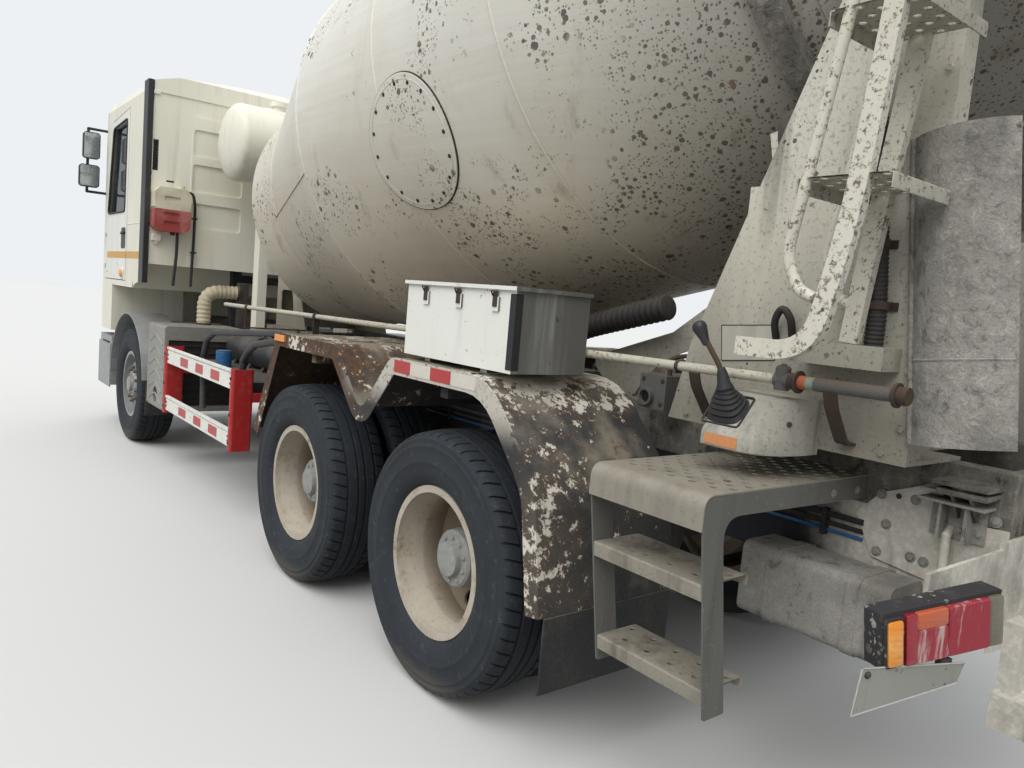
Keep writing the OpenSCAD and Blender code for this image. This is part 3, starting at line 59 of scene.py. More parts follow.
NODES = frame["nodes"]
JOINTS = {joint["name"]: joint for joint in frame["joints"]}
DRUM_SEAT = JOINTS["drum_spin"]["pos_m"]
LAST_AXLE = JOINTS["rear_wheels_left_spin"]["pos_m"][0]
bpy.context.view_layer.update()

SIDES = (("left", 1), ("right", -1))    # the name of each side and the sign of its Y
CLEAR = 0.0002                          # how far a fitting stands off the solid that carries it
FINISHES = {}                           # the materials by name, made by the finishes step


def srgb(red, green, blue):
    """A linear colour from the 0 to 255 values that a paint chart gives."""
    shares = (red / 255, green / 255, blue / 255)
    return tuple(c / 12.92 if c <= 0.04045 else ((c + 0.055) / 1.055) ** 2.4 for c in shares)


def colour(name, about, red, green, blue):
    return FloatVectorProperty(name=name, description=about, default=srgb(red, green, blue), subtype="COLOR",
                               min=0.0, max=1.0)


def length(name, about, default):
    return FloatProperty(name=name, description=about, default=default, unit="LENGTH", min=0.0)


class MixerPaint(bpy.types.PropertyGroup):
    """Colours of the truck's finishes"""
    cream: colour("Cream", "Cab and water tank", 232, 229, 213)
    drum: colour("Drum", "Drum paint", 222, 219, 208)
    white: colour("White", "Toolbox, cab sides and guard rails", 232, 232, 224)
    cement: colour("Cement", "Dried cement on steel", 136, 132, 124)
    cement_pale: colour("Pale cement", "Fresh splashes of cement", 176, 172, 162)
    black_steel: colour("Black steel", "Chassis paint under dust", 40, 41, 45)
    dust: colour("Dust", "Road dust", 128, 120, 106)
    rust: colour("Rust", "Bare steel gone brown", 96, 62, 40)
    dark_rust: colour("Dark rust", "Old scale and tar", 50, 42, 36)
    rubber: colour("Rubber", "Tyre rubber under dust", 44, 48, 53)
    rim: colour("Rim", "Rims behind years of dust", 190, 181, 166)
    silver: colour("Silver", "Silver paint and dull aluminium", 158, 160, 160)
    red: colour("Red", "Guard posts and red reflectors", 178, 44, 44)
    amber: colour("Amber", "Turn signal lenses", 226, 138, 34)
    stripe: colour("Stripe", "Band on the doors", 206, 160, 72)
    blue: colour("Blue", "Canister behind the guard", 38, 104, 160)


class MixerSizes(bpy.types.PropertyGroup):
    """Sizes of the fittings"""
    edge: length("Edge", "Rounding of sheet metal edges", 0.003)
    bolt: length("Bolt", "Radius of a common bolt head", 0.011)
    groove: length("Groove", "Depth of the tyres' tread", 0.011)
    pitches: IntProperty(name="Pitches", description="Tread blocks round a tyre", default=56, min=20, max=90)
    bead: length("Weld bead", "Radius of the drum's weld seams", 0.005)
    hole: length("Hole", "Radius of a hole in the perforated steps", 0.0105)


class MixerCamera(bpy.types.PropertyGroup):
    """Where the camera stands"""
    place: FloatVectorProperty(name="Place", description="Camera position", subtype="TRANSLATION",
                               unit="LENGTH", default=(-4.614, 2.860, 1.554))
    turn: FloatVectorProperty(name="Turn", description="Yaw, pitch and roll of the camera", subtype="EULER",
                              unit="ROTATION", default=[math.radians(a) for a in (-38.45, -5.91, 4.93)])
    lens: FloatProperty(name="Lens", description="Focal length", default=27.51, unit="CAMERA", min=1.0)


# Shader maths

class Value:
    """A shader socket that takes part in Python arithmetic."""

    def __init__(self, nodes, socket):
        self.nodes = nodes
        self.socket = socket

    def calc(self, operation, first, second=0.0):
        return self.nodes.node("ShaderNodeMath", {"operation": operation}, {0: first, 1: second})

    def __add__(self, other):
        return self.calc("ADD", self, other)

    def __radd__(self, other):
        return self.calc("ADD", other, self)

    def __sub__(self, other):
        return self.calc("SUBTRACT", self, other)

    def __rsub__(self, other):
        return self.calc("SUBTRACT", other, self)

    def __mul__(self, other):
        return self.calc("MULTIPLY", self, other)

    def __rmul__(self, other):
        return self.calc("MULTIPLY", other, self)

    def __abs__(self):
        return self.calc("ABSOLUTE", self)

    def root(self):
        return self.calc("SQRT", self)

    def least(self, other):
        return self.calc("MINIMUM", self, other)

    def either(self, other):
        return self.calc("MAXIMUM", self, other)

    def band(self, low, high):
        """0 below low, 1 above high and a soft step between them; low may be the larger."""
        return self.nodes.node("ShaderNodeMapRange", {"interpolation_type": "SMOOTHSTEP"},
                               {"Value": self, "From Min": low, "From Max": high})


class Nodes:
    """A node tree in the making."""

    def __init__(self, tree):
        self.tree = tree

    def feed(self, socket, value):
        if isinstance(value, Value):
            self.tree.links.new(value.socket, socket)
        elif socket.type == "RGBA" and len(value) == 3:
            socket.default_value = (*value, 1.0)
        else:
            socket.default_value = value

    def node(self, kind, settings=None, inputs=None, output=0):
        made = self.tree.nodes.new(kind)
        for name, value in (settings or {}).items():
            setattr(made, name, value)
        for name, value in (inputs or {}).items():
            self.feed(made.inputs[name], value)
        return Value(self, made.outputs[output])

    def ray(self, kind):
        """1 where a ray of this kind meets the surface or the sky."""
        return self.node("ShaderNodeLightPath", output=f"Is {kind} Ray")


class Finish(Nodes):
    """A procedural material in the making."""

    def __init__(self, name, **constants):
        self.material = bpy.data.materials.new(name)
        self.material.use_nodes = True
        super().__init__(self.material.node_tree)
        self.shader = self.tree.nodes["Principled BSDF"]
        for socket, value in constants.items():
            self.feed(self.shader.inputs[socket.replace("_", " ").title().replace("Ior", "IOR")], value)

    def place(self, stretch=(1, 1, 1), turn=(0, 0, 0), shift=0.0):
        """The point's place in the truck's own metres."""
        at = self.node("ShaderNodeTexCoord", output="Object")
        moved = (shift, shift * 1.7, shift * 2.3)
        return self.node("ShaderNodeMapping", {"vector_type": "POINT"},
                         {"Vector": at, "Location": moved, "Rotation": turn, "Scale": stretch})

    def along(self, axis):
        return self.node("ShaderNodeSeparateXYZ", inputs={0: self.place()}, output=axis)

    def facing(self, axis):
        """How far the surface faces along an axis, from -1 to 1."""
        normal = self.node("ShaderNodeNewGeometry", output="Normal")
        return self.node("ShaderNodeSeparateXYZ", inputs={0: normal}, output=axis)

    def near_axle(self, places, height):
        """How far a point lies from the nearer of two axles at these places in X."""
        level = self.along("Z") - height
        first, second = [(self.along("X") - x) * (self.along("X") - x) + level * level for x in places]
        return first.least(second).root()

    def noise(self, scale, detail=3.0, rough=0.55, warp=0.0, **where):
        grain = {"Scale": scale, "Detail": detail, "Roughness": rough, "Distortion": warp}
        return self.node("ShaderNodeTexNoise", inputs={"Vector": self.place(**where), **grain})

    def spots(self, scale, size, soft=0.02, **where):
        """Ragged spots of mixed sizes, the largest of radius size in cells."""
        at = {"Vector": self.place(**where), "Scale": scale}
        edge = (self.noise(scale * 5.0, detail=2.0) - 0.5) * size * 0.9
        reach = self.node("ShaderNodeTexVoronoi", inputs=at)
        cell = self.node("ShaderNodeTexVoronoi", inputs=at, output="Color")
        chance = self.node("ShaderNodeSeparateColor", inputs={0: cell})
        return (chance * size - reach + edge).band(0.0, soft)

    def mix(self, first, second, factor, blend="MIX"):
        return self.node("ShaderNodeMix", {"data_type": "RGBA", "blend_type": blend, "clamp_factor": True},
                         {"Factor": factor, 6: first, 7: second}, output=2)

    def shade(self, tone, value, amount):
        """A colour made lighter and darker by a value round a half."""
        grey = self.node("ShaderNodeCombineColor", inputs={0: value, 1: value, 2: value})
        return self.mix(tone, grey, amount, "OVERLAY")

    def bump(self, height, distance):
        return self.node("ShaderNodeBump", inputs={"Height": height, "Distance": distance, "Strength": 1.0})

    def done(self, tone, roughness=None, normal=None):
        for name, value in (("Base Color", tone), ("Roughness", roughness), ("Normal", normal)):
            if value is not None:
                self.feed(self.shader.inputs[name], value)
        return self.material


def aged_paint(name, tone, grime, rust=None, specks=0.0, streaks=0.5, chips=0.0, gloss=0.45, mottle=0.0,
               spray=0.0, darker_below=None):
    """Old gloss paint: uneven tone, run marks, specks, chips, a fine mottle, spray on what faces back, and
    paint that turns darker from the upper to the lower of the two heights of darker_below."""
    f = Finish(name, specular_ior_level=0.4)
    bare = rust or grime
    broad = f.noise(1.6, detail=5.0, rough=0.6)
    runs = f.noise(9.0, detail=4.0, rough=0.65, stretch=(1.0, 1.0, 0.07), shift=3.1)
    fine = f.noise(70.0, detail=3.0, shift=5.7)
    paint = f.shade(tone, broad, 0.35)
    darkening = runs.band(0.48, 0.74) * broad.band(0.3, 0.6) * streaks
    if darker_below:
        # Darker towards the bottom, from the upper to the lower height of darker_below
        darkening = darkening.either((f.along("Z") + (runs - 0.5) * 0.5).band(darker_below[1], darker_below[0]) * 0.85)
    if spray:
        back = (f.facing("X") + broad * 0.2).band(-0.5, -0.8)
        darkening = darkening.either(back * (runs * 0.5 + 0.5).band(0.45, 0.78) * spray)
    paint = f.mix(paint, grime, darkening)
    if mottle:
        rough = f.noise(62.0, detail=8.0, rough=0.74, shift=6.6)
        flecks = f.mix(grime, bare, rough.band(0.54, 0.64))
        paint = f.mix(paint, flecks, (rough + broad * 0.2).band(0.63, 0.71) * mottle)
    marks = None
    if specks:
        marks = f.spots(24.0, 0.32 * specks, shift=1.3).either(f.spots(62.0, 0.36 * specks, shift=8.3))
        marks = marks * f.noise(3.2, shift=4.4).band(0.46, 0.60)
        paint = f.mix(paint, bare, marks * 0.85)
    if chips:
        scars = f.noise(14.0, detail=8.0, rough=0.7, shift=9.2).band(0.70 - chips * 0.12, 0.72 - chips * 0.12)
        paint = f.mix(paint, bare, scars * 0.9)
        marks = scars if marks is None else marks.either(scars)
    relief = f.bump(fine * 0.3 + (marks * 0.8 if marks else 0.0) + runs * 0.2, 0.0012)
    return f.done(paint, roughness=(broad * 0.25 + darkening * 0.25 + gloss).band(0.0, 1.0), normal=relief)


def drum_paint(name, paints, axis_turn):
    """The drum: cream paint scoured in rings, flecked with cement and rust, greyer towards the mouth, with
    painted shade that makes its lower half darker and browner.
    """
    f = Finish(name, specular_ior_level=0.45)
    broad = f.noise(1.1, detail=5.0, rough=0.6, warp=0.6)
    rings = f.noise(5.0, detail=6.0, rough=0.7, turn=axis_turn, stretch=(0.22, 0.22, 6.0), shift=2.0)
    fine = f.noise(90.0, detail=2.0)
    back = (f.along("X") * -1.0 + DRUM_SEAT[0] + (broad - 0.5) * 0.5).band(0.0, 1.1)
    # low: the drum's lower half, which takes the painted shade below and heavier runs of dirt
    low = (f.along("Z") + (broad - 0.5) * 0.7).band(DRUM_SEAT[2] - 0.15, DRUM_SEAT[2] - 1.15)
    paint = f.shade(paints.drum, broad, 0.30)
    paint = f.shade(paint, rings, 0.34)
    # Painted shade: the lower half mixed towards a darker brown
    paint = f.mix(paint, srgb(184, 168, 142), low * 0.6)
    paint = f.mix(paint, srgb(148, 144, 134), back * 0.72)
    clusters = f.noise(1.7, detail=3.0, shift=6.0)
    many = back * 0.26 + clusters.band(0.42, 0.70) * 0.18 + 0.04
    large = f.spots(17.0, 0.30, shift=0.7) * clusters.band(0.49, 0.56)
    middling = f.spots(34.0, 0.38, shift=4.2) * (many + f.noise(4.0, shift=1.9) * 0.5).band(0.36, 0.42)
    small = f.spots(80.0, 0.42, shift=7.7) * (many + f.noise(9.0, shift=3.3) * 0.5).band(0.34, 0.42)
    flecks = large.either(middling * 0.9).either(small * 0.75)
    fleck_tone = f.mix(paints.dark_rust, srgb(112, 84, 60), f.noise(12.0, shift=5.5).band(0.5, 0.65))
    paint = f.mix(paint, fleck_tone, flecks * 0.85)
    runs = f.noise(7.0, detail=5.0, rough=0.65, stretch=(1.0, 1.0, 0.12), shift=13.0).band(0.56, 0.78)
    paint = f.mix(paint, srgb(128, 112, 88), runs * (low * 0.5 + back * 0.3 + 0.12))
    scuffs = f.noise(3.0, detail=7.0, rough=0.75, turn=axis_turn, stretch=(0.5, 0.5, 9.0), shift=11.0)
    paint = f.mix(paint, srgb(226, 224, 216), scuffs.band(0.66, 0.74) * 0.45)
    relief = f.bump(flecks * 0.8 + fine * 0.10 + rings * 0.25 + back * fine * 0.3, 0.003)
    return f.done(paint, roughness=broad * 0.2 + flecks * 0.2 + back * 0.15 + 0.34, normal=relief)


def cement_crust(name, base, pale, dark, scale=1.0, relief_height=0.006, runs=0.5):
    """Steel under layers of dried cement, wrinkled and streaked."""
    f = Finish(name, roughness=0.9, specular_ior_level=0.2)
    broad = f.noise(2.4 * scale, detail=6.0, rough=0.62)
    wrinkle = f.noise(26.0 * scale, detail=6.0, rough=0.66, stretch=(1.0, 1.0, 0.8), warp=0.35, shift=2.2)
    lumps = f.noise(9.0 * scale, detail=3.0, stretch=(1.0, 1.0, 1.5), shift=9.0)
    streak = f.noise(14.0, detail=4.0, rough=0.6, stretch=(1.0, 1.0, 0.09), shift=7.0)
    grit = f.noise(160.0, detail=2.0, shift=4.0)
    tone = f.mix(base, pale, wrinkle.band(0.50, 0.68) * 0.6)
    tone = f.mix(tone, dark, wrinkle.band(0.46, 0.34) * 0.8)
    tone = f.mix(tone, dark, broad.band(0.50, 0.34) * 0.7)
    tone = f.mix(tone, dark, streak.band(0.58, 0.76) * runs)
    tone = f.shade(tone, grit, 0.35)
    relief = f.bump(wrinkle * 1.0 + grit * 0.10 + lumps * 0.9 + broad * 0.6, relief_height * 1.6)
    return f.done(tone, roughness=broad * 0.25 + 0.68, normal=relief)


def rusty_fender(name):
    """Tar and rust under white paint that comes off in flakes, dust on top and a pale lip."""
    f = Finish(name, specular_ior_level=0.25)
    broad = f.noise(2.1, detail=4.0, shift=1.0)
    flakes = f.noise(24.0, detail=10.0, rough=0.74, shift=6.1)
    up = f.facing("Z")
    where = broad * 0.55 + flakes * 0.75 + up * 0.02 + f.along("Z") * 0.045
    white = where.band(0.755, 0.765)
    halo = where.band(0.715, 0.752)
    grit = f.noise(120.0, detail=3.0)
    tone = f.shade(f.mix(srgb(62, 62, 62), srgb(92, 86, 78), broad.band(0.4, 0.66)), grit, 0.5)
    tone = f.mix(tone, srgb(104, 76, 54), f.along("X").band(-1.55, -1.30) * flakes.band(0.38, 0.56) * 0.8)
    tone = f.mix(tone, srgb(118, 84, 58), halo * 0.6)
    tone = f.mix(tone, srgb(214, 209, 196), white)
    dust = f.noise(5.0, detail=5.0, shift=9.0)
    dust_tone = f.mix(srgb(146, 139, 124), srgb(126, 104, 82), flakes.band(0.5, 0.62))
    tone = f.mix(tone, dust_tone, (dust * 0.8 + up * 0.2).band(0.47, 0.70) * 0.75)
    lip = abs(f.along("Y")).band(1.2425, 1.2445) * flakes.band(0.36, 0.46)
    lip = lip * f.along("X").band(-1.30, -1.48) * f.along("Z").band(1.05, 1.20)
    tone = f.mix(tone, srgb(206, 200, 188), lip * 0.9)
    relief = f.bump(white * 0.8 + grit * 0.25 + dust * 0.4, 0.003)
    return f.done(tone, roughness=0.92 - white * 0.25, normal=relief)


def frame_steel(name, paints):
    """Black rails that turn grey with dried cement behind the wheels."""
    f = Finish(name, specular_ior_level=0.3)
    broad = f.noise(2.2, detail=6.0, rough=0.65)
    fine = f.noise(46.0, detail=5.0, rough=0.65, shift=2.0)
    runs = f.noise(13.0, detail=4.0, rough=0.6, stretch=(1.0, 1.0, 0.12), shift=7.0)
    rear = (f.along("X") * -1.0 + (broad - 0.5) * 0.5).band(3.22, 3.42)
    dusted = (broad * 0.8 + fine * 0.3).band(0.52, 0.85) * 0.45
    black = f.mix(f.shade(paints.black_steel, fine, 0.3), paints.dust, dusted)
    crusty = f.mix(srgb(196, 191, 180), srgb(212, 208, 198), fine.band(0.45, 0.65))
    crusty = f.mix(crusty, srgb(132, 125, 115), broad.band(0.52, 0.36) * 0.7)
    crusty = f.mix(crusty, srgb(84, 78, 70), runs.band(0.56, 0.74) * 0.55)
    relief = f.bump(fine + broad * 0.5, 0.0025)
    return f.done(f.mix(black, crusty, rear), roughness=broad * 0.3 + 0.55, normal=relief)


def tyre_rubber(name, paints):
    """Rubber greyed by dust, darker where the tread touched the road."""
    f = Finish(name, specular_ior_level=0.3)
    broad = f.noise(4.0, detail=5.0, rough=0.6)
    scuff = f.noise(34.0, detail=5.0, rough=0.7, shift=3.0)
    grit = f.noise(190.0, detail=2.0)
    tone = f.shade(paints.rubber, broad, 0.5)
    tone = f.mix(tone, srgb(112, 113, 110), scuff.band(0.54, 0.75) * 0.3)
    tone = f.mix(tone, srgb(40, 42, 46), broad.band(0.5, 0.3) * 0.6)
    tone = f.mix(tone, paints.dust, (f.along("Z") + broad * 0.12).band(0.22, 0.03) * 0.5)
    relief = f.bump(scuff * 0.5 + grit * 0.2, 0.0015)
    return f.done(tone, roughness=broad * 0.2 + 0.68, normal=relief)


def dusty(name, tone, dust, amount=0.5, roughness=0.6, grain=60.0, metallic=0.0, relief_height=0.001):
    """A plain finish under a coat of dust, more where it lies than where it hangs."""
    f = Finish(name, metallic=metallic)
    broad = f.noise(3.0, detail=6.0, rough=0.62)
    fine = f.noise(grain, detail=4.0, rough=0.6, shift=2.0)
    coat = (broad * 0.9 + f.facing("Z") * 0.22 + fine * 0.25).band(0.52, 0.95) * amount
    body = f.mix(f.shade(tone, fine, 0.3), dust, coat)
    return f.done(body, roughness=coat * 0.3 + roughness, normal=f.bump(fine, relief_height))


def rim_paint(name, paints):
    """Pale rims with rust that bleeds from the seams and brown dirt in the well."""
    f = Finish(name, specular_ior_level=0.3)
    broad = f.noise(5.0, detail=5.0, rough=0.65)
    fine = f.noise(40.0, detail=6.0, rough=0.68, shift=2.0)
    well = (abs(f.along("Y")) + (broad - 0.5) * 0.05).band(1.12, 0.98)
    hub = f.near_axle((LAST_AXLE + 1.35, LAST_AXLE), 0.52).band(0.146, 0.138)
    tone = f.shade(paints.rim, fine, 0.35)
    tone = f.mix(tone, srgb(136, 120, 98), (fine * 0.6 + broad * 0.5).band(0.50, 0.72) * 0.7)
    tone = f.mix(tone, srgb(112, 97, 76), well * 0.75)
    tone = f.mix(tone, paints.rust, (fine * 0.7 + broad * 0.4).band(0.66, 0.74) * 0.6)
    tone = f.mix(tone, f.shade(srgb(150, 150, 146), fine, 0.4), hub)
    return f.done(tone, roughness=broad * 0.3 + 0.5, normal=f.bump(fine, 0.0015))


def faded_lens(name, tone, pale):
    """A ribbed lamp lens with a bleached, scratched face."""
    f = Finish(name, specular_ior_level=0.5, coat_weight=0.2)
    wear = f.noise(9.0, detail=6.0, rough=0.7)
    lines = f.node("ShaderNodeTexWave", {"bands_direction": "Z"},
                   {"Vector": f.place(), "Scale": 150.0 / 6.28})
    tint = f.mix(tone, pale, wear.band(0.46, 0.72) * 0.75)
    return f.done(tint, roughness=wear * 0.4 + 0.2, normal=f.bump(lines, 0.0003))


def window_glass(name):
    """Dark glass under a thin smear."""
    f = Finish(name, roughness=0.06, ior=1.45, alpha=1.0)
    smear = f.noise(5.0, detail=4.0)
    tone = f.mix(srgb(30, 38, 42), srgb(58, 66, 68), smear.band(0.4, 0.8))
    return f.done(tone, roughness=smear * 0.1 + 0.03)


# Middles of the guards' red posts in X
GUARD_POSTS = (0.295, 1.840)


def guard_paint(name, paints):
    """White rails on red posts, both worn."""
    f = Finish(name, specular_ior_level=0.4)
    near, far = [abs(f.along("X") - x).band(0.029, 0.026) for x in GUARD_POSTS]
    posts = near.either(far)
    broad = f.noise(2.5, detail=5.0, rough=0.65)
    wear = f.noise(24.0, detail=7.0, rough=0.7, shift=3.0)
    tone = f.mix(f.shade(paints.white, broad, 0.3), f.shade(paints.red, broad, 0.3), posts)
    tone = f.mix(tone, paints.dust, wear.band(0.50, 0.74) * 0.5)
    tone = f.mix(tone, srgb(70, 64, 58), wear.band(0.675, 0.69) * 0.8)
    return f.done(tone, roughness=broad * 0.3 + 0.3, normal=f.bump(wear, 0.0012))


def flaky_lens(name, most):
    """A red lens whose face has bleached and peels in upright streaks."""
    f = Finish(name, specular_ior_level=0.4)
    streaks = f.noise(60.0, detail=6.0, rough=0.7, stretch=(1.0, 1.0, 0.10))
    flakes = f.noise(90.0, detail=7.0, rough=0.75, shift=5.0)
    tone = f.mix(srgb(150, 44, 56), srgb(190, 160, 156), streaks.band(most - 0.06, most + 0.10))
    tone = f.mix(tone, srgb(96, 62, 60), flakes.band(0.60, 0.66) * 0.8)
    return f.done(tone, roughness=streaks * 0.4 + 0.35, normal=f.bump(streaks * 0.6 + flakes * 0.5, 0.0012))


def two_tone_tank(name, waist):
    """A pale moulded tank whose lower part has gone red from what it holds."""
    f = Finish(name, specular_ior_level=0.45)
    broad = f.noise(7.0, detail=4.0)
    fine = f.noise(120.0, detail=2.0, shift=4.0)
    level = (f.along("Z") + broad * 0.006).band(waist - 0.003, waist + 0.003)
    lower = f.mix(srgb(156, 66, 62), srgb(184, 126, 116), broad.band(0.42, 0.66) * 0.6)
    upper = f.mix(srgb(212, 207, 184), srgb(190, 172, 146), broad.band(0.45, 0.7) * 0.6)
    tone = f.shade(f.mix(lower, upper, level), fine, 0.2)
    return f.done(tone, roughness=broad * 0.25 + 0.28, normal=f.bump(fine, 0.0006))


def mirror_glass(name):
    """Silvered glass with a dusty film."""
    f = Finish(name, metallic=0.9, specular_ior_level=0.5)
    film = f.noise(18.0, detail=5.0)
    tone = f.mix(srgb(196, 204, 208), srgb(150, 152, 150), film.band(0.45, 0.75))
    return f.done(tone, roughness=film * 0.25 + 0.04)


# Mesh helpers

def aimed(at, axis):
    """A matrix that puts local +Z along axis at a point."""
    return Matrix.Translation(at) @ Vector((0, 0, 1)).rotation_difference(Vector(axis)).to_matrix().to_4x4()


def turns(count, start=0.0):
    """Angles at even steps round a circle, from a share of a step on."""
    return [math.tau * (i + start) / count for i in range(count)]


def skin(rows, n, lids=True):
    """Faces between neighbouring rows of n points each, and a lid on either end."""
    faces = []
    for at in range(0, (rows - 1) * n, n):
        faces += [(at + k, at + (k + 1) % n, at + n + (k + 1) % n, at + n + k) for k in range(n)]
    return faces + [tuple(range(n))[::-1], tuple(range((rows - 1) * n, rows * n))] * lids


def rounded(points, radius, steps=5):
    """A path with its inner corners rounded, by one radius or by one for each corner."""
    points = [Vector(p) for p in points]
    radii = radius if isinstance(radius, (list, tuple)) else [radius] * len(points)
    path = [points[0]]
    for before, corner, after, bend in zip(points, points[1:], points[2:], radii):
        to_start, to_end = before - corner, after - corner
        reach = min(bend, to_start.length * 0.48, to_end.length * 0.48)
        start, end = corner + to_start.normalized() * reach, corner + to_end.normalized() * reach
        for i in range(steps + 1):
            t = i / steps
            path.append(start * (1 - t) ** 2 + corner * 2 * t * (1 - t) + end * t ** 2)
    return path + [points[-1]]


def closed(points, radius, steps=4):
    """A closed outline with all its corners rounded."""
    middle = (Vector(points[0]) + Vector(points[-1])) / 2
    return rounded([middle, *points, middle], radius, steps)[:-1]


def panel(x0, x1, y0, y1, radius, steps=4):
    """A rectangle with rounded corners."""
    return closed([(x0, y0), (x1, y0), (x1, y1), (x0, y1)], radius, steps)


def band(path, left, right):
    """The outline of a strip whose edges lie at these distances to the left of a flat path."""
    path = [Vector(p) for p in path]
    last = len(path) - 1
    ways = [(path[min(i + 1, last)] - path[max(i - 1, 0)]).normalized() for i in range(last + 1)]
    steps = [(p, Vector((-way.y, way.x))) for p, way in zip(path, ways)]
    return [p + n * left for p, n in steps] + [p + n * right for p, n in reversed(steps)]


def spaced(path, gap):
    """Points at even distances along a path."""
    path = [Vector(p) for p in path]
    made, left = [path[0]], gap
    for start, end in zip(path, path[1:]):
        way = end - start
        while left < way.length:
            made.append(start + way.normalized() * left)
            left += gap
        left -= way.length
    return made + [path[-1]]


class Piece:
    """A mesh in the making, in the truck's metres; what is added takes the finish that was picked last."""

    def __init__(self, finish):
        self.mesh = bmesh.new()
        self.finishes = []
        self.pick(finish)

    def pick(self, finish):
        if finish not in self.finishes:
            self.finishes.append(finish)
        self.tint = self.finishes.index(finish)

    def add(self, points, faces, matrix=None):
        corners = [self.mesh.verts.new(matrix @ Vector(p) if matrix else p) for p in points]
        for face in faces:
            self.mesh.faces.new([corners[i] for i in face]).material_index = self.tint

    def slab(self, low, high):
        xs, ys, zs = zip(low, high)
        points = [(x, y, z) for x in xs for y in ys for z in zs]
        self.add(points, [(0, 1, 3, 2), (4, 6, 7, 5), (0, 4, 5, 1), (2, 3, 7, 6), (0, 2, 6, 4), (1, 5, 7, 3)])

    def side_slab(self, sign, low, high):
        """A slab given for the left side, mirrored to the right where sign is -1."""
        ys = sorted((sign * low[1], sign * high[1]))
        self.slab((low[0], ys[0], low[2]), (high[0], ys[1], high[2]))

    def side_plate(self, sign, outline, near, far):
        """An outline in X and Z between two distances from the truck's middle."""
        self.profile(outline, "Y", *sorted((sign * near, sign * far)))

    def turned(self, profile, matrix=None, steps=32):
        """A solid turned round local Z from (radius, height) pairs."""
        points, rows = [], []
        for radius, height in profile:
            if radius < 1e-6:
                rows.append([len(points)] * steps)
                points.append((0, 0, height))
                continue
            rows.append([len(points) + i for i in range(steps)])
            points += [(radius * math.cos(a), radius * math.sin(a), height) for a in turns(steps)]
        faces = []
        for low, high in zip(rows, rows[1:]):
            for i in range(steps):
                j = (i + 1) % steps
                corners = dict.fromkeys((low[i], low[j], high[j], high[i]))
                if len(corners) > 2:
                    faces.append(tuple(corners))
        for row, flip in ((rows[0], -1), (rows[-1], 1)):
            if row[0] != row[-1]:
                faces.append(tuple(row[::flip]))
        self.add(points, faces, matrix)

    def tube(self, path, radius, sides=10, ends=True):
        """A round bar along a path; radius may be a function of the share of the way."""
        path = [Vector(p) for p in path]
        size = radius if callable(radius) else lambda t: radius
        points, last = [], len(path) - 1
        side = None
        for i, at in enumerate(path):
            way = (path[min(i + 1, last)] - path[max(i - 1, 0)]).normalized()
            side = (way.orthogonal() if side is None else side - way * side.dot(way)).normalized()
            up = way.cross(side)
            points += [at + (side * math.cos(a) + up * math.sin(a)) * size(i / last) for a in turns(sides)]
        self.add(points, skin(len(path), sides, ends))

    def hoop(self, path, radius, sides=6):
        """A round bar whose end meets its start."""
        self.tube([*path, path[0]], radius, sides, ends=False)

    def ribbed(self, path, radius, depth, pattern, sides):
        """A hose whose skin dips by these shares of depth, in turn from point to point."""
        count = len(path) - 1
        self.tube(path, lambda t: radius - depth * pattern[round(t * count) % len(pattern)], sides)

    def bolts(self, places, axis, radius, height=None):
        """Hexagon heads on washers."""
        height = height or radius * 0.75
        for at in places:
            seat = aimed(at, axis)
            self.turned([(radius * 1.5, 0), (radius * 1.5, radius * 0.18), (0, radius * 0.18)], seat, 14)
            self.turned([(radius, 0), (radius, height * 0.8), (radius * 0.8, height), (0, height)], seat, 6)

    def profile(self, outline, axis, low, high):
        """An outline in the two other axes, in their order, drawn out along X, Y or Z."""
        at = "XYZ".index(axis)
        self.loft([[(*p[:at], d, *p[at:]) for p in outline] for d in (low, high)])

    def loft(self, rings):
        """A closed skin over rings that have as many points each."""
        self.add([p for ring in rings for p in ring], skin(len(rings), len(rings[0])))

    def sheet(self, corner, along, across, counts, hole, thick):
        """A plate with staggered round holes, one in the middle of every other cell."""
        corner, along, across = Vector(corner), Vector(along), Vector(across)
        step, wide = along / counts[0], across / counts[1]
        down = step.cross(wide).normalized() * -thick
        thirds = (0, 1 / 3, 2 / 3, 1)
        border = [(a, 0) for a in thirds[:3]] + [(1, a) for a in thirds[:3]]
        border += [(1 - a, 1) for a in thirds[:3]] + [(0, 1 - a) for a in thirds[:3]]
        n = len(border)
        for i in range(counts[0]):
            for j in range(counts[1]):
                low = corner + step * i + wide * j
                edge = [low + step * a + wide * b for a, b in border]
                if (i + j) % 2:
                    self.add(edge, [tuple(range(n))])
                    self.add([p + down for p in edge], [tuple(range(n))[::-1]])
                    continue
                middle = low + step / 2 + wide / 2
                top = edge + [middle + (p - middle).normalized() * hole for p in edge]
                faces = []
                for k in range(n):
                    m = (k + 1) % n
                    faces += [(k, m, n + m, n + k), (2 * n + k, 3 * n + k, 3 * n + m, 2 * n + m),
                              (n + k, n + m, 3 * n + m, 3 * n + k)]
                self.add(top + [p + down for p in top], faces)

    def done(self, name, body, slot, bevel=0.0, angle=35.0, stands_for=()):
        """Hands the piece to the scene, on a body, with the solids that it stands in for."""
        bmesh.ops.remove_doubles(self.mesh, verts=self.mesh.verts, dist=1e-5)
        bmesh.ops.recalc_face_normals(self.mesh, faces=self.mesh.faces)
        data = bpy.data.meshes.new(name)
        self.mesh.to_mesh(data)
        self.mesh.free()
        for finish in self.finishes:
            data.materials.append(FINISHES[finish])
        data.shade_smooth()
        data.set_sharp_from_angle(angle=math.radians(angle))
        piece = bpy.data.objects.new(name, data)
        bpy.context.scene.collection.objects.link(piece)
        if bevel:
            round_edges(piece, bevel, angle)
        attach(piece, body)
        if stands_for:
            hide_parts(*stands_for)


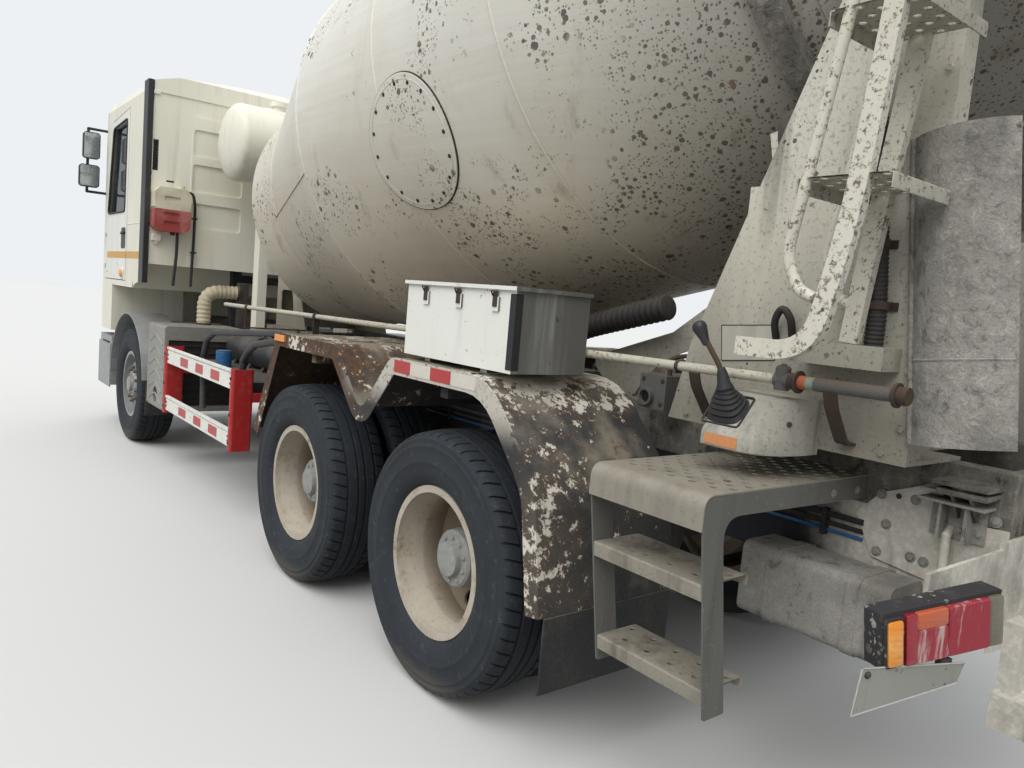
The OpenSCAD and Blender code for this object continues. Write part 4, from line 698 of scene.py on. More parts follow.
def round_edges(piece, width, angle):
    """Rounds the edges that are sharper than an angle in degrees."""
    rounding = piece.modifiers.new("Rounding", "BEVEL")
    rounding.width = width
    rounding.segments = 2
    rounding.limit_method = "ANGLE"
    rounding.angle_limit = math.radians(angle)
    return rounding


class MIXER_OT_stage(bpy.types.Operator):
    """Set the floor, the soft light and the camera"""
    bl_idname = "mixer.stage"
    bl_label = "Stage"

    FLOOR_HALF = 60.0

    def execute(self, context):
        scene = context.scene
        scene.view_settings.view_transform = "Standard"
        self.camera(scene)
        self.world(scene)
        self.lamps(scene)
        self.floor()
        return {"FINISHED"}

    def camera(self, scene):
        setup = scene.mixer_camera
        yaw, pitch, roll = setup.turn
        ahead = Vector((math.cos(yaw) * math.cos(pitch), math.sin(yaw) * math.cos(pitch), math.sin(pitch)))
        right = Vector((math.sin(yaw), -math.cos(yaw), 0))
        up = right.cross(ahead)
        right, up = right * math.cos(roll) + up * math.sin(roll), up * math.cos(roll) - right * math.sin(roll)
        data = bpy.data.cameras.new("camera")
        data.lens = setup.lens
        data.clip_end = 200.0
        camera = bpy.data.objects.new("camera", data)
        scene.collection.objects.link(camera)
        aim = Matrix((right, up, -ahead)).transposed().to_4x4()
        camera.matrix_world = Matrix.Translation(setup.place) @ aim
        scene.camera = camera

    def world(self, scene):
        """An even grey sky, brighter overhead."""
        world = bpy.data.worlds.new("overcast")
        world.use_nodes = True
        sky = Nodes(world.node_tree)
        place = sky.node("ShaderNodeTexCoord", output="Generated")
        height = sky.node("ShaderNodeSeparateXYZ", inputs={0: place}, output="Z")
        light = sky.node("ShaderNodeMapRange", {"interpolation_type": "SMOOTHSTEP"}, {
            "Value": height, "From Min": -0.15, "From Max": 0.9, "To Min": 0.50, "To Max": 1.12})
        seen = sky.ray("Camera").either(sky.ray("Transmission"))
        background = sky.tree.nodes["Background"]
        sky.feed(background.inputs["Color"], (0.95, 0.975, 1.0))
        strength = sky.node("ShaderNodeMix", inputs={"Factor": seen, 2: light, 3: 0.9})
        sky.feed(background.inputs["Strength"], strength)
        scene.world = world

    def lamps(self, scene):
        data = bpy.data.lights.new("soft_sky_light", "SUN")
        data.energy = 1.9
        data.angle = math.radians(50.0)
        data.color = (1.0, 0.985, 0.96)
        lamp = bpy.data.objects.new("soft_sky_light", data)
        lamp.matrix_world = aimed((0, 6, 9), (-0.30, 0.75, 1.0))
        scene.collection.objects.link(lamp)

    def floor(self):
        f = Finish("floor", roughness=0.95, specular_ior_level=0.1)
        seen = f.ray("Camera").either(f.ray("Glossy"))
        data = bpy.data.meshes.new("floor")
        half = self.FLOOR_HALF
        data.from_pydata([(-half, -half, 0), (half, -half, 0), (half, half, 0), (-half, half, 0)], [],
                         [(0, 1, 2, 3)])
        data.materials.append(f.done(f.mix(srgb(132, 132, 130), srgb(206, 206, 204), seen)))
        floor = bpy.data.objects.new("floor", data)
        bpy.context.scene.collection.objects.link(floor)


class MIXER_OT_finishes(bpy.types.Operator):
    """Make every finish and give it to the solids"""
    bl_idname = "mixer.finishes"
    bl_label = "Finishes"

    # The nodes that wear each finish
    SOLIDS = {
        "frame": "frame rear_bumper",
        "frame_cement": "subframe",
        "rear_metal": "rear_tank",
        "cement": "discharge_hopper drum_ring drum_blades chute_swivel",
        "crust": "spare_chute chute",
        "cast": "axles springs powertrain drum_gearbox drum_roller_left drum_roller_right "
                "knuckle_left knuckle_right",
        "silver": "front_end battery_box fuel_tank",
        "dull_metal": "silencer",
        "black_steel": "tube_guard",
        "guard": "side_guards",
        "fender": "rear_fenders",
        "cream": "cab_shell water_tank",
        "cream_low": "front_pedestal feed_hopper control_stand",
        "pedestal": "rear_pedestal",
        "ladder": "ladder",
        "steps": "platform_steps",
        "white": "toolbox toolbox_lid door_left door_right",
        "drum": "drum_shell",
        "glass": "cab_glass door_glass_left door_glass_right",
        "trim": "cab_interior",
        "tank_two": "expansion_tank",
        "bellows": "intake_hose",
        "black_rubber": "mudflaps",
        "black_plastic": "mirrors",
        "lens_crimson": "lamps",
    }
    SHARP_ANGLE = 30.0
    JOIN = 0.0002       # corners nearer than this are one

    def execute(self, context):
        self.make(context.scene.mixer_paint)
        for finish, nodes in self.SOLIDS.items():
            for node in nodes.split():
                self.dress(NODES[node], finish, context.scene.mixer_sizes.edge)
        for place, plural, rim in (("front", "", "silver_rim"), ("mid", "s", "rim"), ("rear", "s", "rim")):
            for side, _ in SIDES:
                self.dress(NODES[f"{place}_tyre{plural}_{side}"], "rubber")
                self.dress(NODES[f"{place}_rim{plural}_{side}"], rim)
        return {"FINISHED"}

    def make(self, p):
        turn = Vector(JOINTS["drum_spin"]["axis"])
        tilt = (0.0, -math.atan2(turn.x, turn.z), 0.0)
        grime = srgb(112, 104, 90)
        tables = {
            # Tone, grime, what chips show, specks, streaks, chips, gloss, mottle, spray, heights of the
            # darkening below
            aged_paint: {
                "cream": (p.cream, grime, None, 0.0, 0.28, 0.05, 0.34),
                "cream_low": (srgb(192, 188, 172), grime, p.rust, 0.6, 0.6, 0.25, 0.45, 0.0, 0.0, (1.2, 2.1)),
                "pedestal": (srgb(208, 204, 190), srgb(122, 117, 106), p.dark_rust, 0.7, 0.8, 0.2, 0.5, 0.45,
                             0.0, (1.1, 2.1)),
                "ladder": (srgb(212, 208, 194), srgb(122, 106, 84), srgb(78, 60, 46), 0.5, 0.5, 0.3, 0.5,
                           0.85),
                "tread": (srgb(178, 174, 162), srgb(104, 96, 84), srgb(78, 62, 50), 0.4, 0.7, 0.3, 0.5, 0.8),
                "white": (p.white, srgb(88, 87, 82), srgb(70, 66, 60), 0.35, 0.35, 0.35, 0.36, 0.0, 0.95),
                "steps": (srgb(146, 140, 127), srgb(92, 87, 80), srgb(104, 84, 64), 0.5, 0.8, 0.2, 0.38,
                          0.28),
                "step_sides": (srgb(104, 103, 98), srgb(62, 64, 66), srgb(150, 145, 134), 0.5, 0.7, 0.2, 0.5,
                               0.4),
                "lamp_rubber": (srgb(52, 50, 52), srgb(160, 154, 146), srgb(176, 170, 160), 1.2, 0.5, 0.8,
                                0.7),
                "plate": (srgb(182, 179, 168), srgb(120, 118, 108), srgb(90, 84, 76), 0.3, 0.6, 0.2),
                "plate_grey": (srgb(142, 143, 136), srgb(92, 88, 82), srgb(80, 74, 68), 0.6, 0.7, 0.35),
                "lever_box": (srgb(170, 167, 156), srgb(98, 92, 82), srgb(112, 88, 66), 0.5, 0.8, 0.2, 0.5,
                              0.4),
                "rod": (srgb(192, 188, 172), srgb(116, 96, 72), p.rust, 0.6, 0.5, 0.3, 0.5, 0.7),
            },
            # Base, pale and dark tones, then scale, height of the relief and runs
            cement_crust: {
                "cement": (p.cement, p.cement_pale, srgb(84, 82, 78)),
                "frame_cement": (srgb(112, 109, 101), srgb(150, 146, 134), srgb(60, 58, 58), 0.8, 0.003),
                "rear_metal": (srgb(146, 144, 137), srgb(164, 161, 152), srgb(104, 100, 94), 0.6, 0.002),
                "crust": (srgb(150, 147, 140), srgb(178, 175, 166), srgb(112, 109, 103), 1.2, 0.006, 0.3),
            },
            # Tone, dust, its amount, roughness, scale of the grain, metallic, height of the relief
            dusty: {
                # The dark ring of painted shadow round the drum's hatch, also worn by the hatch's bolt heads
                "gasket": (srgb(46, 42, 38), srgb(110, 104, 94), 0.4, 0.85, 90.0, 0.0, 0.002),
                "black_steel": (p.black_steel, p.dust, 0.45, 0.55),
                "cast": (srgb(58, 54, 50), srgb(120, 110, 96), 0.7, 0.7, 50.0, 0.0, 0.002),
                "hub": (srgb(150, 150, 145), srgb(120, 112, 98), 0.5, 0.75, 45.0, 0.0, 0.002),
                "nut": (srgb(104, 96, 86), srgb(132, 118, 96), 0.7, 0.7, 60.0, 0.2),
                "silver_rim": (p.silver, srgb(120, 112, 98), 0.5, 0.45, 45.0, 0.35),
                "silver": (p.silver, srgb(120, 114, 102), 0.5, 0.5, 30.0, 0.3),
                "dull_metal": (srgb(150, 148, 142), srgb(108, 98, 84), 0.5, 0.55, 30.0, 0.35),
                # The dark plate of painted shade in the silencer box's recess, and its slats
                "burnt": (srgb(44, 42, 42), srgb(92, 78, 64), 0.5, 0.7, 30.0, 0.3),
                "black_rubber": (srgb(34, 35, 37), p.dust, 0.45, 0.7),
                "black_plastic": (srgb(26, 28, 31), p.dust, 0.25, 0.4, 200.0),
                "bellows": (srgb(188, 178, 152), srgb(104, 92, 74), 0.8, 0.8, 50.0, 0.0, 0.002),
                "hose_black": (srgb(38, 36, 36), srgb(96, 88, 78), 0.6, 0.7, 70.0),
                "trim": (srgb(74, 77, 82), p.dust, 0.2, 0.8, 120.0),
                "red_block": (p.red, srgb(132, 84, 78), 0.4, 0.35, 90.0),
                "tape_white": (srgb(214, 208, 196), srgb(132, 122, 106), 0.5, 0.45, 90.0),
                "stripe": (p.stripe, srgb(206, 192, 158), 0.35, 0.4, 50.0),
                "blue": (p.blue, p.dust, 0.3, 0.35),
                "bright_edge": (srgb(190, 188, 182), srgb(130, 124, 112), 0.4, 0.35, 60.0, 0.6),
                "boot": (srgb(32, 32, 34), srgb(104, 98, 90), 0.5, 0.65, 90.0),
                "clamp": (srgb(92, 92, 90), srgb(108, 88, 70), 0.7, 0.7, 60.0, 0.1, 0.002),
                "dark_rusty": (srgb(62, 50, 42), srgb(108, 80, 58), 0.7, 0.8, 60.0, 0.0, 0.002),
                "label": (srgb(204, 138, 88), srgb(160, 136, 110), 0.5, 0.5, 50.0),
                "sleeve_orange": (srgb(176, 92, 56), srgb(120, 94, 74), 0.7, 0.6, 50.0),
                "sleeve_green": (srgb(136, 150, 134), srgb(112, 104, 90), 0.8, 0.6, 50.0),
            },
            # The lens and its bleached tone
            faded_lens: {
                "amber": (p.amber, srgb(240, 190, 120)),
                "lens_crimson": (srgb(146, 32, 46), srgb(168, 84, 88)),
                "lens_orange": (srgb(186, 90, 56), srgb(190, 130, 104)),
                "lens_smoke": (srgb(104, 100, 86), srgb(150, 146, 132)),
                "lens_clear": (srgb(206, 210, 212), srgb(236, 238, 238)),
            },
            # How much of the red is left
            flaky_lens: {"lens_flaky": (0.5,), "lens_worn": (0.58,)},
            # The height at which the colour changes
            two_tone_tank: {"tank_two": (2.085,)},
            drum_paint: {"drum": (p, tilt)},
            frame_steel: {"frame": (p,)},
            guard_paint: {"guard": (p,)},
            rim_paint: {"rim": (p,)},
            tyre_rubber: {"rubber": (p,)},
            rusty_fender: {"fender": ()},
            mirror_glass: {"mirror": ()},
            window_glass: {"glass": ()},
        }
        for make, table in tables.items():
            FINISHES.update({name: make(name, *values) for name, values in table.items()})

    def dress(self, solid, finish, edge=0.0):
        """Gives a solid its finish and rounds its sharp edges."""
        solid.data.materials.clear()
        solid.data.materials.append(FINISHES[finish])
        if edge:
            solid.modifiers.new("Joined", "WELD").merge_threshold = self.JOIN
            round_edges(solid, edge, self.SHARP_ANGLE).use_clamp_overlap = True
            solid.modifiers.new("Evened", "WEIGHTED_NORMAL").keep_sharp = True


class MIXER_OT_tyres(bpy.types.Operator):
    """Mould each tyre with its tread, shoulders and sidewall rings"""
    bl_idname = "mixer.tyres"
    bl_label = "Tyres"

    # Steps round one pitch, and how deep the cross groove is at each
    PITCH = ((0.0, 0), (0.02, 1), (0.15, 1), (0.17, 0), (0.55, 0))
    # The sidewall from the bead out: radius and share of the half width
    WALL = ((0.286, 0.72), (0.300, 0.75), (0.306, 0.80), (0.322, 0.90), (0.345, 0.955), (0.372, 0.985),
            (0.386, 0.99), (0.389, 1.0), (0.396, 1.0), (0.399, 0.992), (0.425, 0.985), (0.448, 0.97),
            (0.452, 0.98), (0.458, 0.977), (0.461, 0.962), (0.474, 0.945), (0.478, 0.952), (0.484, 0.945),
            (0.487, 0.928))
    SHOULDER, SHOULDER_DROP = 0.87, 0.016
    # The tread from its shoulder in: share of the half width, and 1 where it lies in a groove
    TREAD = ((0.78, 0), (0.60, 0), (0.52, 0), (0.50, 1), (0.44, 1), (0.42, 0), (0.17, 0), (0.155, 1),
             (0.095, 1), (0.08, 0))
    CROWN = 0.016

    def execute(self, context):
        sizes = context.scene.mixer_sizes
        for side, _ in SIDES:
            self.tyre_set(f"front_tyre_{side}", f"front_wheel_{side}", 1, sizes)
            for place in ("mid", "rear"):
                self.tyre_set(f"{place}_tyres_{side}", f"{place}_wheels_{side}", 2, sizes)
        return {"FINISHED"}

    def tyre_set(self, node, body, count, sizes):
        low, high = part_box(node)
        centre_x, centre_z = (low[0] + high[0]) / 2, (low[2] + high[2]) / 2
        outer = (high[2] - low[2]) / 2
        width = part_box("front_tyre_left")[1][1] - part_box("front_tyre_left")[0][1]
        piece = Piece("rubber")
        for middle in (low[1] + width / 2, high[1] - width / 2)[:count]:
            self.tyre(piece, (centre_x, middle, centre_z), outer, width / 2, sizes)
        piece.done(body + "_tyres", body, "tyre_rubber", angle=28.0, stands_for=(node,))

    def tyre(self, piece, centre, outer, half, sizes):
        points, faces = [], []
        section = self.section(outer, half, sizes.groove)
        steps = [((i + share) / sizes.pitches, cut)
                 for i in range(sizes.pitches) for share, cut in self.PITCH]
        for turn, cut in steps:
            for radius, y, slant, depth in section:
                angle = math.tau * (turn + slant / sizes.pitches)
                r = radius - depth * cut
                points.append((centre[0] + r * math.cos(angle), centre[1] + y,
                               centre[2] + r * math.sin(angle)))
        n, m = len(section), len(steps)
        for i in range(m):
            after = (i + 1) % m
            faces += [(i * n + k, after * n + k, after * n + (k + 1) % n, i * n + (k + 1) % n)
                      for k in range(n)]
        piece.add(points, faces)

    def section(self, outer, half, groove):
        """The tyre's section: radius, place across, slant of the cross grooves and their depth."""
        shoulder = outer - self.SHOULDER_DROP
        rows = [(r, share * half, 0.0, 0.0) for r, share in self.WALL]
        rows += [(shoulder - 0.006, 0.90 * half, 0.0, 0.004),
                 (shoulder, self.SHOULDER * half, 0.0, groove * 0.7)]
        for share, sunk in self.TREAD:
            cross = groove * 0.8 if share > 0.5 and not sunk else 0.0
            radius = outer - self.CROWN * share ** 2 - groove * sunk
            rows.append((radius, share * half, (self.SHOULDER - share) * 0.9, cross))
        return rows + [(r, -y, -slant, cut) for r, y, slant, cut in reversed(rows)]


class MIXER_OT_wheels(bpy.types.Operator):
    """Bolt the hubs and rims: nuts, bolts and valves"""
    bl_idname = "mixer.wheels"
    bl_label = "Wheels"

    # How far the hub's cap and the disc with the nuts stand out from the wheel's middle
    REAR_FACES, FRONT_FACES = (0.205, 0.012), (0.118, 0.095)
    # Radius of the ring, and radius and height of a head, for the cap's bolts and for the nuts
    CAP_BOLTS, NUTS = (0.088, 0.009, 0.008), (0.152, 0.017, 0.032)
    # The valve: distance from the hub's middle, and how far it stands out of the disc
    VALVE = ((0.175, 0.0), (0.180, 0.03), (0.215, 0.055))

    def execute(self, context):
        for side, sign in SIDES:
            for place in ("mid", "rear"):
                self.fasteners(f"{place}_wheels_{side}", f"{place}_tyres_{side}", sign, self.REAR_FACES,
                               "rim_paint")
            self.fasteners(f"front_wheel_{side}", f"front_tyre_{side}", sign, self.FRONT_FACES,
                           "front_rim_paint")
        return {"FINISHED"}

    def fasteners(self, body, tyres, sign, faces, slot):
        """Ten bolts round the hub's cap, ten nuts on the disc and the valve."""
        low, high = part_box(tyres)
        out = (0, sign, 0)
        wheel = aimed([(a + b) / 2 for a, b in zip(low, high)], out)
        piece = Piece("hub")
        for finish, face, (ring, size, height) in zip(("hub", "nut"), faces, (self.CAP_BOLTS, self.NUTS)):
            piece.pick(finish)
            places = [wheel @ Vector((ring * math.cos(a), ring * math.sin(a), face)) for a in turns(10, 0.5)]
            piece.bolts(places, out, size, height)
        piece.tube([wheel @ Vector((r, 0, faces[1] + rise)) for r, rise in self.VALVE], 0.004, 8)
        piece.done(f"{body}_nuts", body, slot, bevel=0.001)


class MIXER_OT_drum_trim(bpy.types.Operator):
    """Weld seams and the bolted hatch on the drum"""
    bl_idname = "mixer.drum_trim"
    bl_label = "Drum trim"

    # Radius of the drum's outline at places along its axis, from the mouth forward
    OUTLINE = ((-2.0, 0.590), (0.0, 1.161), (1.718, 1.161), (2.768, 0.897), (3.206, 0.868))
    # Middle of the hatch: its place along the axis and its angle; then how far its face stands up
    HATCH = (0.726, math.radians(66.0))
    HATCH_RISE = 0.008
    # Weld rings along the axis, and the lengthwise seams between them with their angles
    RINGS = (-1.02, 0.0, 0.86, 1.718, 2.768)
    SEAMS = ((-1.98, -1.02, 40), (-1.02, 0.0, 205), (0.0, 0.86, 118), (0.86, 1.718, 300), (1.718, 2.768, 75))

    def execute(self, context):
        axis, across = Vector(JOINTS["drum_spin"]["axis"]), Vector((0, 1, 0))
        turn = Matrix((across.cross(axis), across, axis)).transposed().to_4x4()
        self.drum = Matrix.Translation(DRUM_SEAT) @ turn
        self.seams(context.scene.mixer_sizes.bead)
        self.hatch()
        return {"FINISHED"}

    def radius(self, s):
        """The drum's radius at a place along its axis, up to its last listed place."""
        for (s0, r0), (s1, r1) in zip(self.OUTLINE, self.OUTLINE[1:]):
            if s <= s1:
                return r0 + (r1 - r0) * (s - s0) / (s1 - s0)

    def on_skin(self, s, angle, rise=0.0):
        r = self.radius(s) + rise
        return self.drum @ Vector((r * math.cos(angle), r * math.sin(angle), s))

    def seams(self, bead):
        piece = Piece("drum")
        for s in self.RINGS:
            piece.hoop([self.on_skin(s, a) for a in turns(120)], bead)
        for s0, s1, degrees in self.SEAMS:
            piece.tube([self.on_skin(s, math.radians(degrees)) for s in (s0, s1)], bead, 6)
        piece.done("drum_seams", "drum", "drum_paint", angle=60.0)

    def round_hatch(self, reach, turn, rise):
        """A point at a distance from the hatch's middle, measured over the skin."""
        s = self.HATCH[0] + reach * math.cos(turn)
        return self.on_skin(s, self.HATCH[1] + reach * math.sin(turn) / self.radius(s), rise)

    def hatch(self):
        """A dark ring of painted shadow at the step round the hatch, bolts whose heads are caked over in the
        same dark finish, and a raised line inside them.
        """
        piece = Piece("gasket")
        # Painted shadow: a dark ring along the step at the hatch's edge
        piece.hoop([self.round_hatch(0.303, a, 0.001) for a in turns(72)], 0.0045)
        for turn in turns(16, 0.3):
            out = self.round_hatch(0.262, turn, 1.0) - self.round_hatch(0.262, turn, 0.0)
            piece.bolts([self.round_hatch(0.262, turn, self.HATCH_RISE)], out, 0.0062, 0.005)
        piece.pick("drum")
        piece.hoop([self.round_hatch(0.276, a, self.HATCH_RISE) for a in turns(72)], 0.002)
        piece.done("drum_hatch_bolts", "drum", "drum_paint")


class MIXER_OT_cab_trim(bpy.types.Operator):
    """Stripes, handles, side lamps, window rubbers and mirror glass of the cab"""
    bl_idname = "mixer.cab_trim"
    bl_label = "Cab trim"

    SIDE_Y = 1.220
    DOOR_EDGE = 3.250
    STRIPE_Z = (1.656, 1.717)
    # Corners of the door's window, and the mirrors' outlines in Y and Z
    WINDOW = ((4.060, 2.080), (3.900, 2.880), (3.340, 2.910), (3.340, 2.080))
    MIRRORS = (((1.300, 2.335), (1.462, 2.532)), ((1.300, 2.606), (1.434, 2.844)))
    REAR_X = 2.575
    SIDE_LAMP = (3.375, 1.519)
    # Rubber blocks on the rear wall: their heights
    BLOCKS_Z = (1.93, 2.36, 2.98)
    WIPERS_Y = (-0.62, 0.28)

    def execute(self, context):
        for side, sign in SIDES:
            self.door_trim(side, sign)
            self.shell_trim(side, sign)
        self.rear_wall()
        self.tank_hoses()
        self.wipers()
        return {"FINISHED"}

    def stripe(self, piece, sign, x0, x1):
        """The band of colour on the cab's side."""
        outline = panel(x0, x1, *self.STRIPE_Z, 0.006, 2)
        piece.side_plate(sign, outline, self.SIDE_Y + CLEAR, self.SIDE_Y + 0.0015)

    def door_trim(self, side, sign):
        """The door's stripe, round lamp, handle in its dish, and the rubber round its window."""
        body = "door_" + side
        piece = Piece("stripe")
        self.stripe(piece, sign, self.DOOR_EDGE + 0.008, 4.046)
        x, z = self.SIDE_LAMP
        lamp = aimed((x, sign * self.SIDE_Y, z), (0, sign, 0))
        piece.pick("white")
        piece.turned([(0.055, CLEAR), (0.055, 0.004), (0.050, 0.007), (0, 0.007)], lamp, 36)
        piece.pick("amber")
        piece.turned([(0.036, 0.007), (0.035, 0.018), (0.026, 0.024), (0, 0.026)], lamp, 32)
        piece.pick("black_plastic")
        piece.side_plate(sign, panel(3.292, 3.455, 1.745, 1.935, 0.03), self.SIDE_Y + CLEAR,
                         self.SIDE_Y + 0.003)
        grip = rounded([(3.315, 1.880), (3.345, 1.893), (3.402, 1.893), (3.432, 1.880)], 0.02)
        piece.tube([(p.x, sign * (self.SIDE_Y + 0.010), p.y) for p in grip], 0.0095)
        piece.done(f"{body}_trim", body, "cream_paint", bevel=0.0015)
        rubber = Piece("black_rubber")
        rubber.hoop([(p.x, sign * (self.SIDE_Y + 0.001), p.y) for p in closed(self.WINDOW, 0.05, 5)], 0.009,
                    8)
        rubber.done(f"{body}_rubber", body, "black_rubber")

    def shell_trim(self, side, sign):
        """The stripe's rear end, a bead along the wall, and the mirrors' glass."""
        piece = Piece("stripe")
        self.stripe(piece, sign, 2.723, self.DOOR_EDGE - 0.008)
        piece.pick("white")
        piece.tube([(x, sign * self.SIDE_Y, 1.960) for x in (2.72, 3.235)], 0.004, 6)
        piece.pick("mirror")
        for (y0, z0), (y1, z1) in self.MIRRORS:
            piece.profile([(sign * p.x, p.y) for p in panel(y0, y1, z0, z1, 0.02)], "X", 4.1475, 4.1497)
        piece.done(f"cab_side_trim_{side}", "cab", "cream_paint", bevel=0.0006)

    def rear_wall(self):
        """Dark vents in the wall's recesses with their slats, and small rubber blocks down its edges."""
        x = self.REAR_X
        piece = Piece("black_rubber")
        for _, sign in SIDES:
            piece.side_slab(sign, (x + 0.012, 1.139, 2.404), (x + 0.017, 1.177, 2.651))
            for i in range(11):
                z = 2.415 + i * 0.0225
                piece.side_slab(sign, (x + 0.003, 1.139, z), (x + 0.013, 1.177, z + 0.005))
            piece.side_slab(sign, (x + 0.004, 1.006, 2.319), (x + 0.012, 1.064, 2.333))
            for z in self.BLOCKS_Z:
                piece.side_slab(sign, (x - 0.008, 1.186, z), (x - 0.0003, 1.214, z + 0.035))
        piece.done("cab_vents", "cab", "black_plastic", bevel=0.001)
        latch = Piece("cream")
        for out, y0, y1, z0, z1 in ((0.030, 1.10, 1.17, 1.815, 1.875), (0.022, 1.12, 1.15, 1.79, 1.815),
                                    (0.014, 1.14, 1.20, 3.02, 3.05)):
            latch.slab((x - out, y0, z0), (x - 0.0003, y1, z1))
        latch.done("cab_rear_brackets", "cab", "cream_paint", bevel=0.003)

    def tank_hoses(self):
        """Two hoses down from the expansion tank, with their clips and the cap of its outlet."""
        low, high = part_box("expansion_tank")
        x, y = (low[0] + high[0]) / 2, low[1]
        piece = Piece("black_rubber")
        down = [(x, y + 0.03, 2.245), (x, y - 0.03, 2.25), (x + 0.01, y - 0.055, 2.15),
                (x + 0.03, y - 0.06, 1.90), (x + 0.02, y - 0.045, 1.45)]
        piece.tube(spaced(rounded(down, 0.06), 0.02), 0.012)
        drop = [(x, y + 0.085, 1.905), (x, y + 0.085, 1.72), (x + 0.02, y + 0.10, 1.45)]
        piece.tube(spaced(rounded(drop, 0.08), 0.02), 0.013)
        for z in (2.03, 1.74):
            piece.slab((x + 0.005, y - 0.078, z), (x + 0.05, y - 0.038, z + 0.014))
        cap = aimed((x, 1.02, 1.898), (0, 0, -1))
        piece.turned([(0.020, 0), (0.020, 0.02), (0.014, 0.024), (0, 0.024)], cap, 20)
        piece.done("expansion_tank_hoses", "cab", "hose_rubber", bevel=0.001)

    def wipers(self):
        piece = Piece("black_plastic")
        for y in self.WIPERS_Y:
            arm = [(4.431, y, 2.03), (4.440, y + 0.05, 2.10), (4.437, y + 0.34, 2.40)]
            piece.tube(arm, lambda t: 0.009 - 0.004 * t, 8)
            piece.tube([(4.4325, y + 0.12, 2.12), (4.4325, y + 0.50, 2.62)], 0.005, 6)
        piece.done("wipers", "cab", "black_plastic")


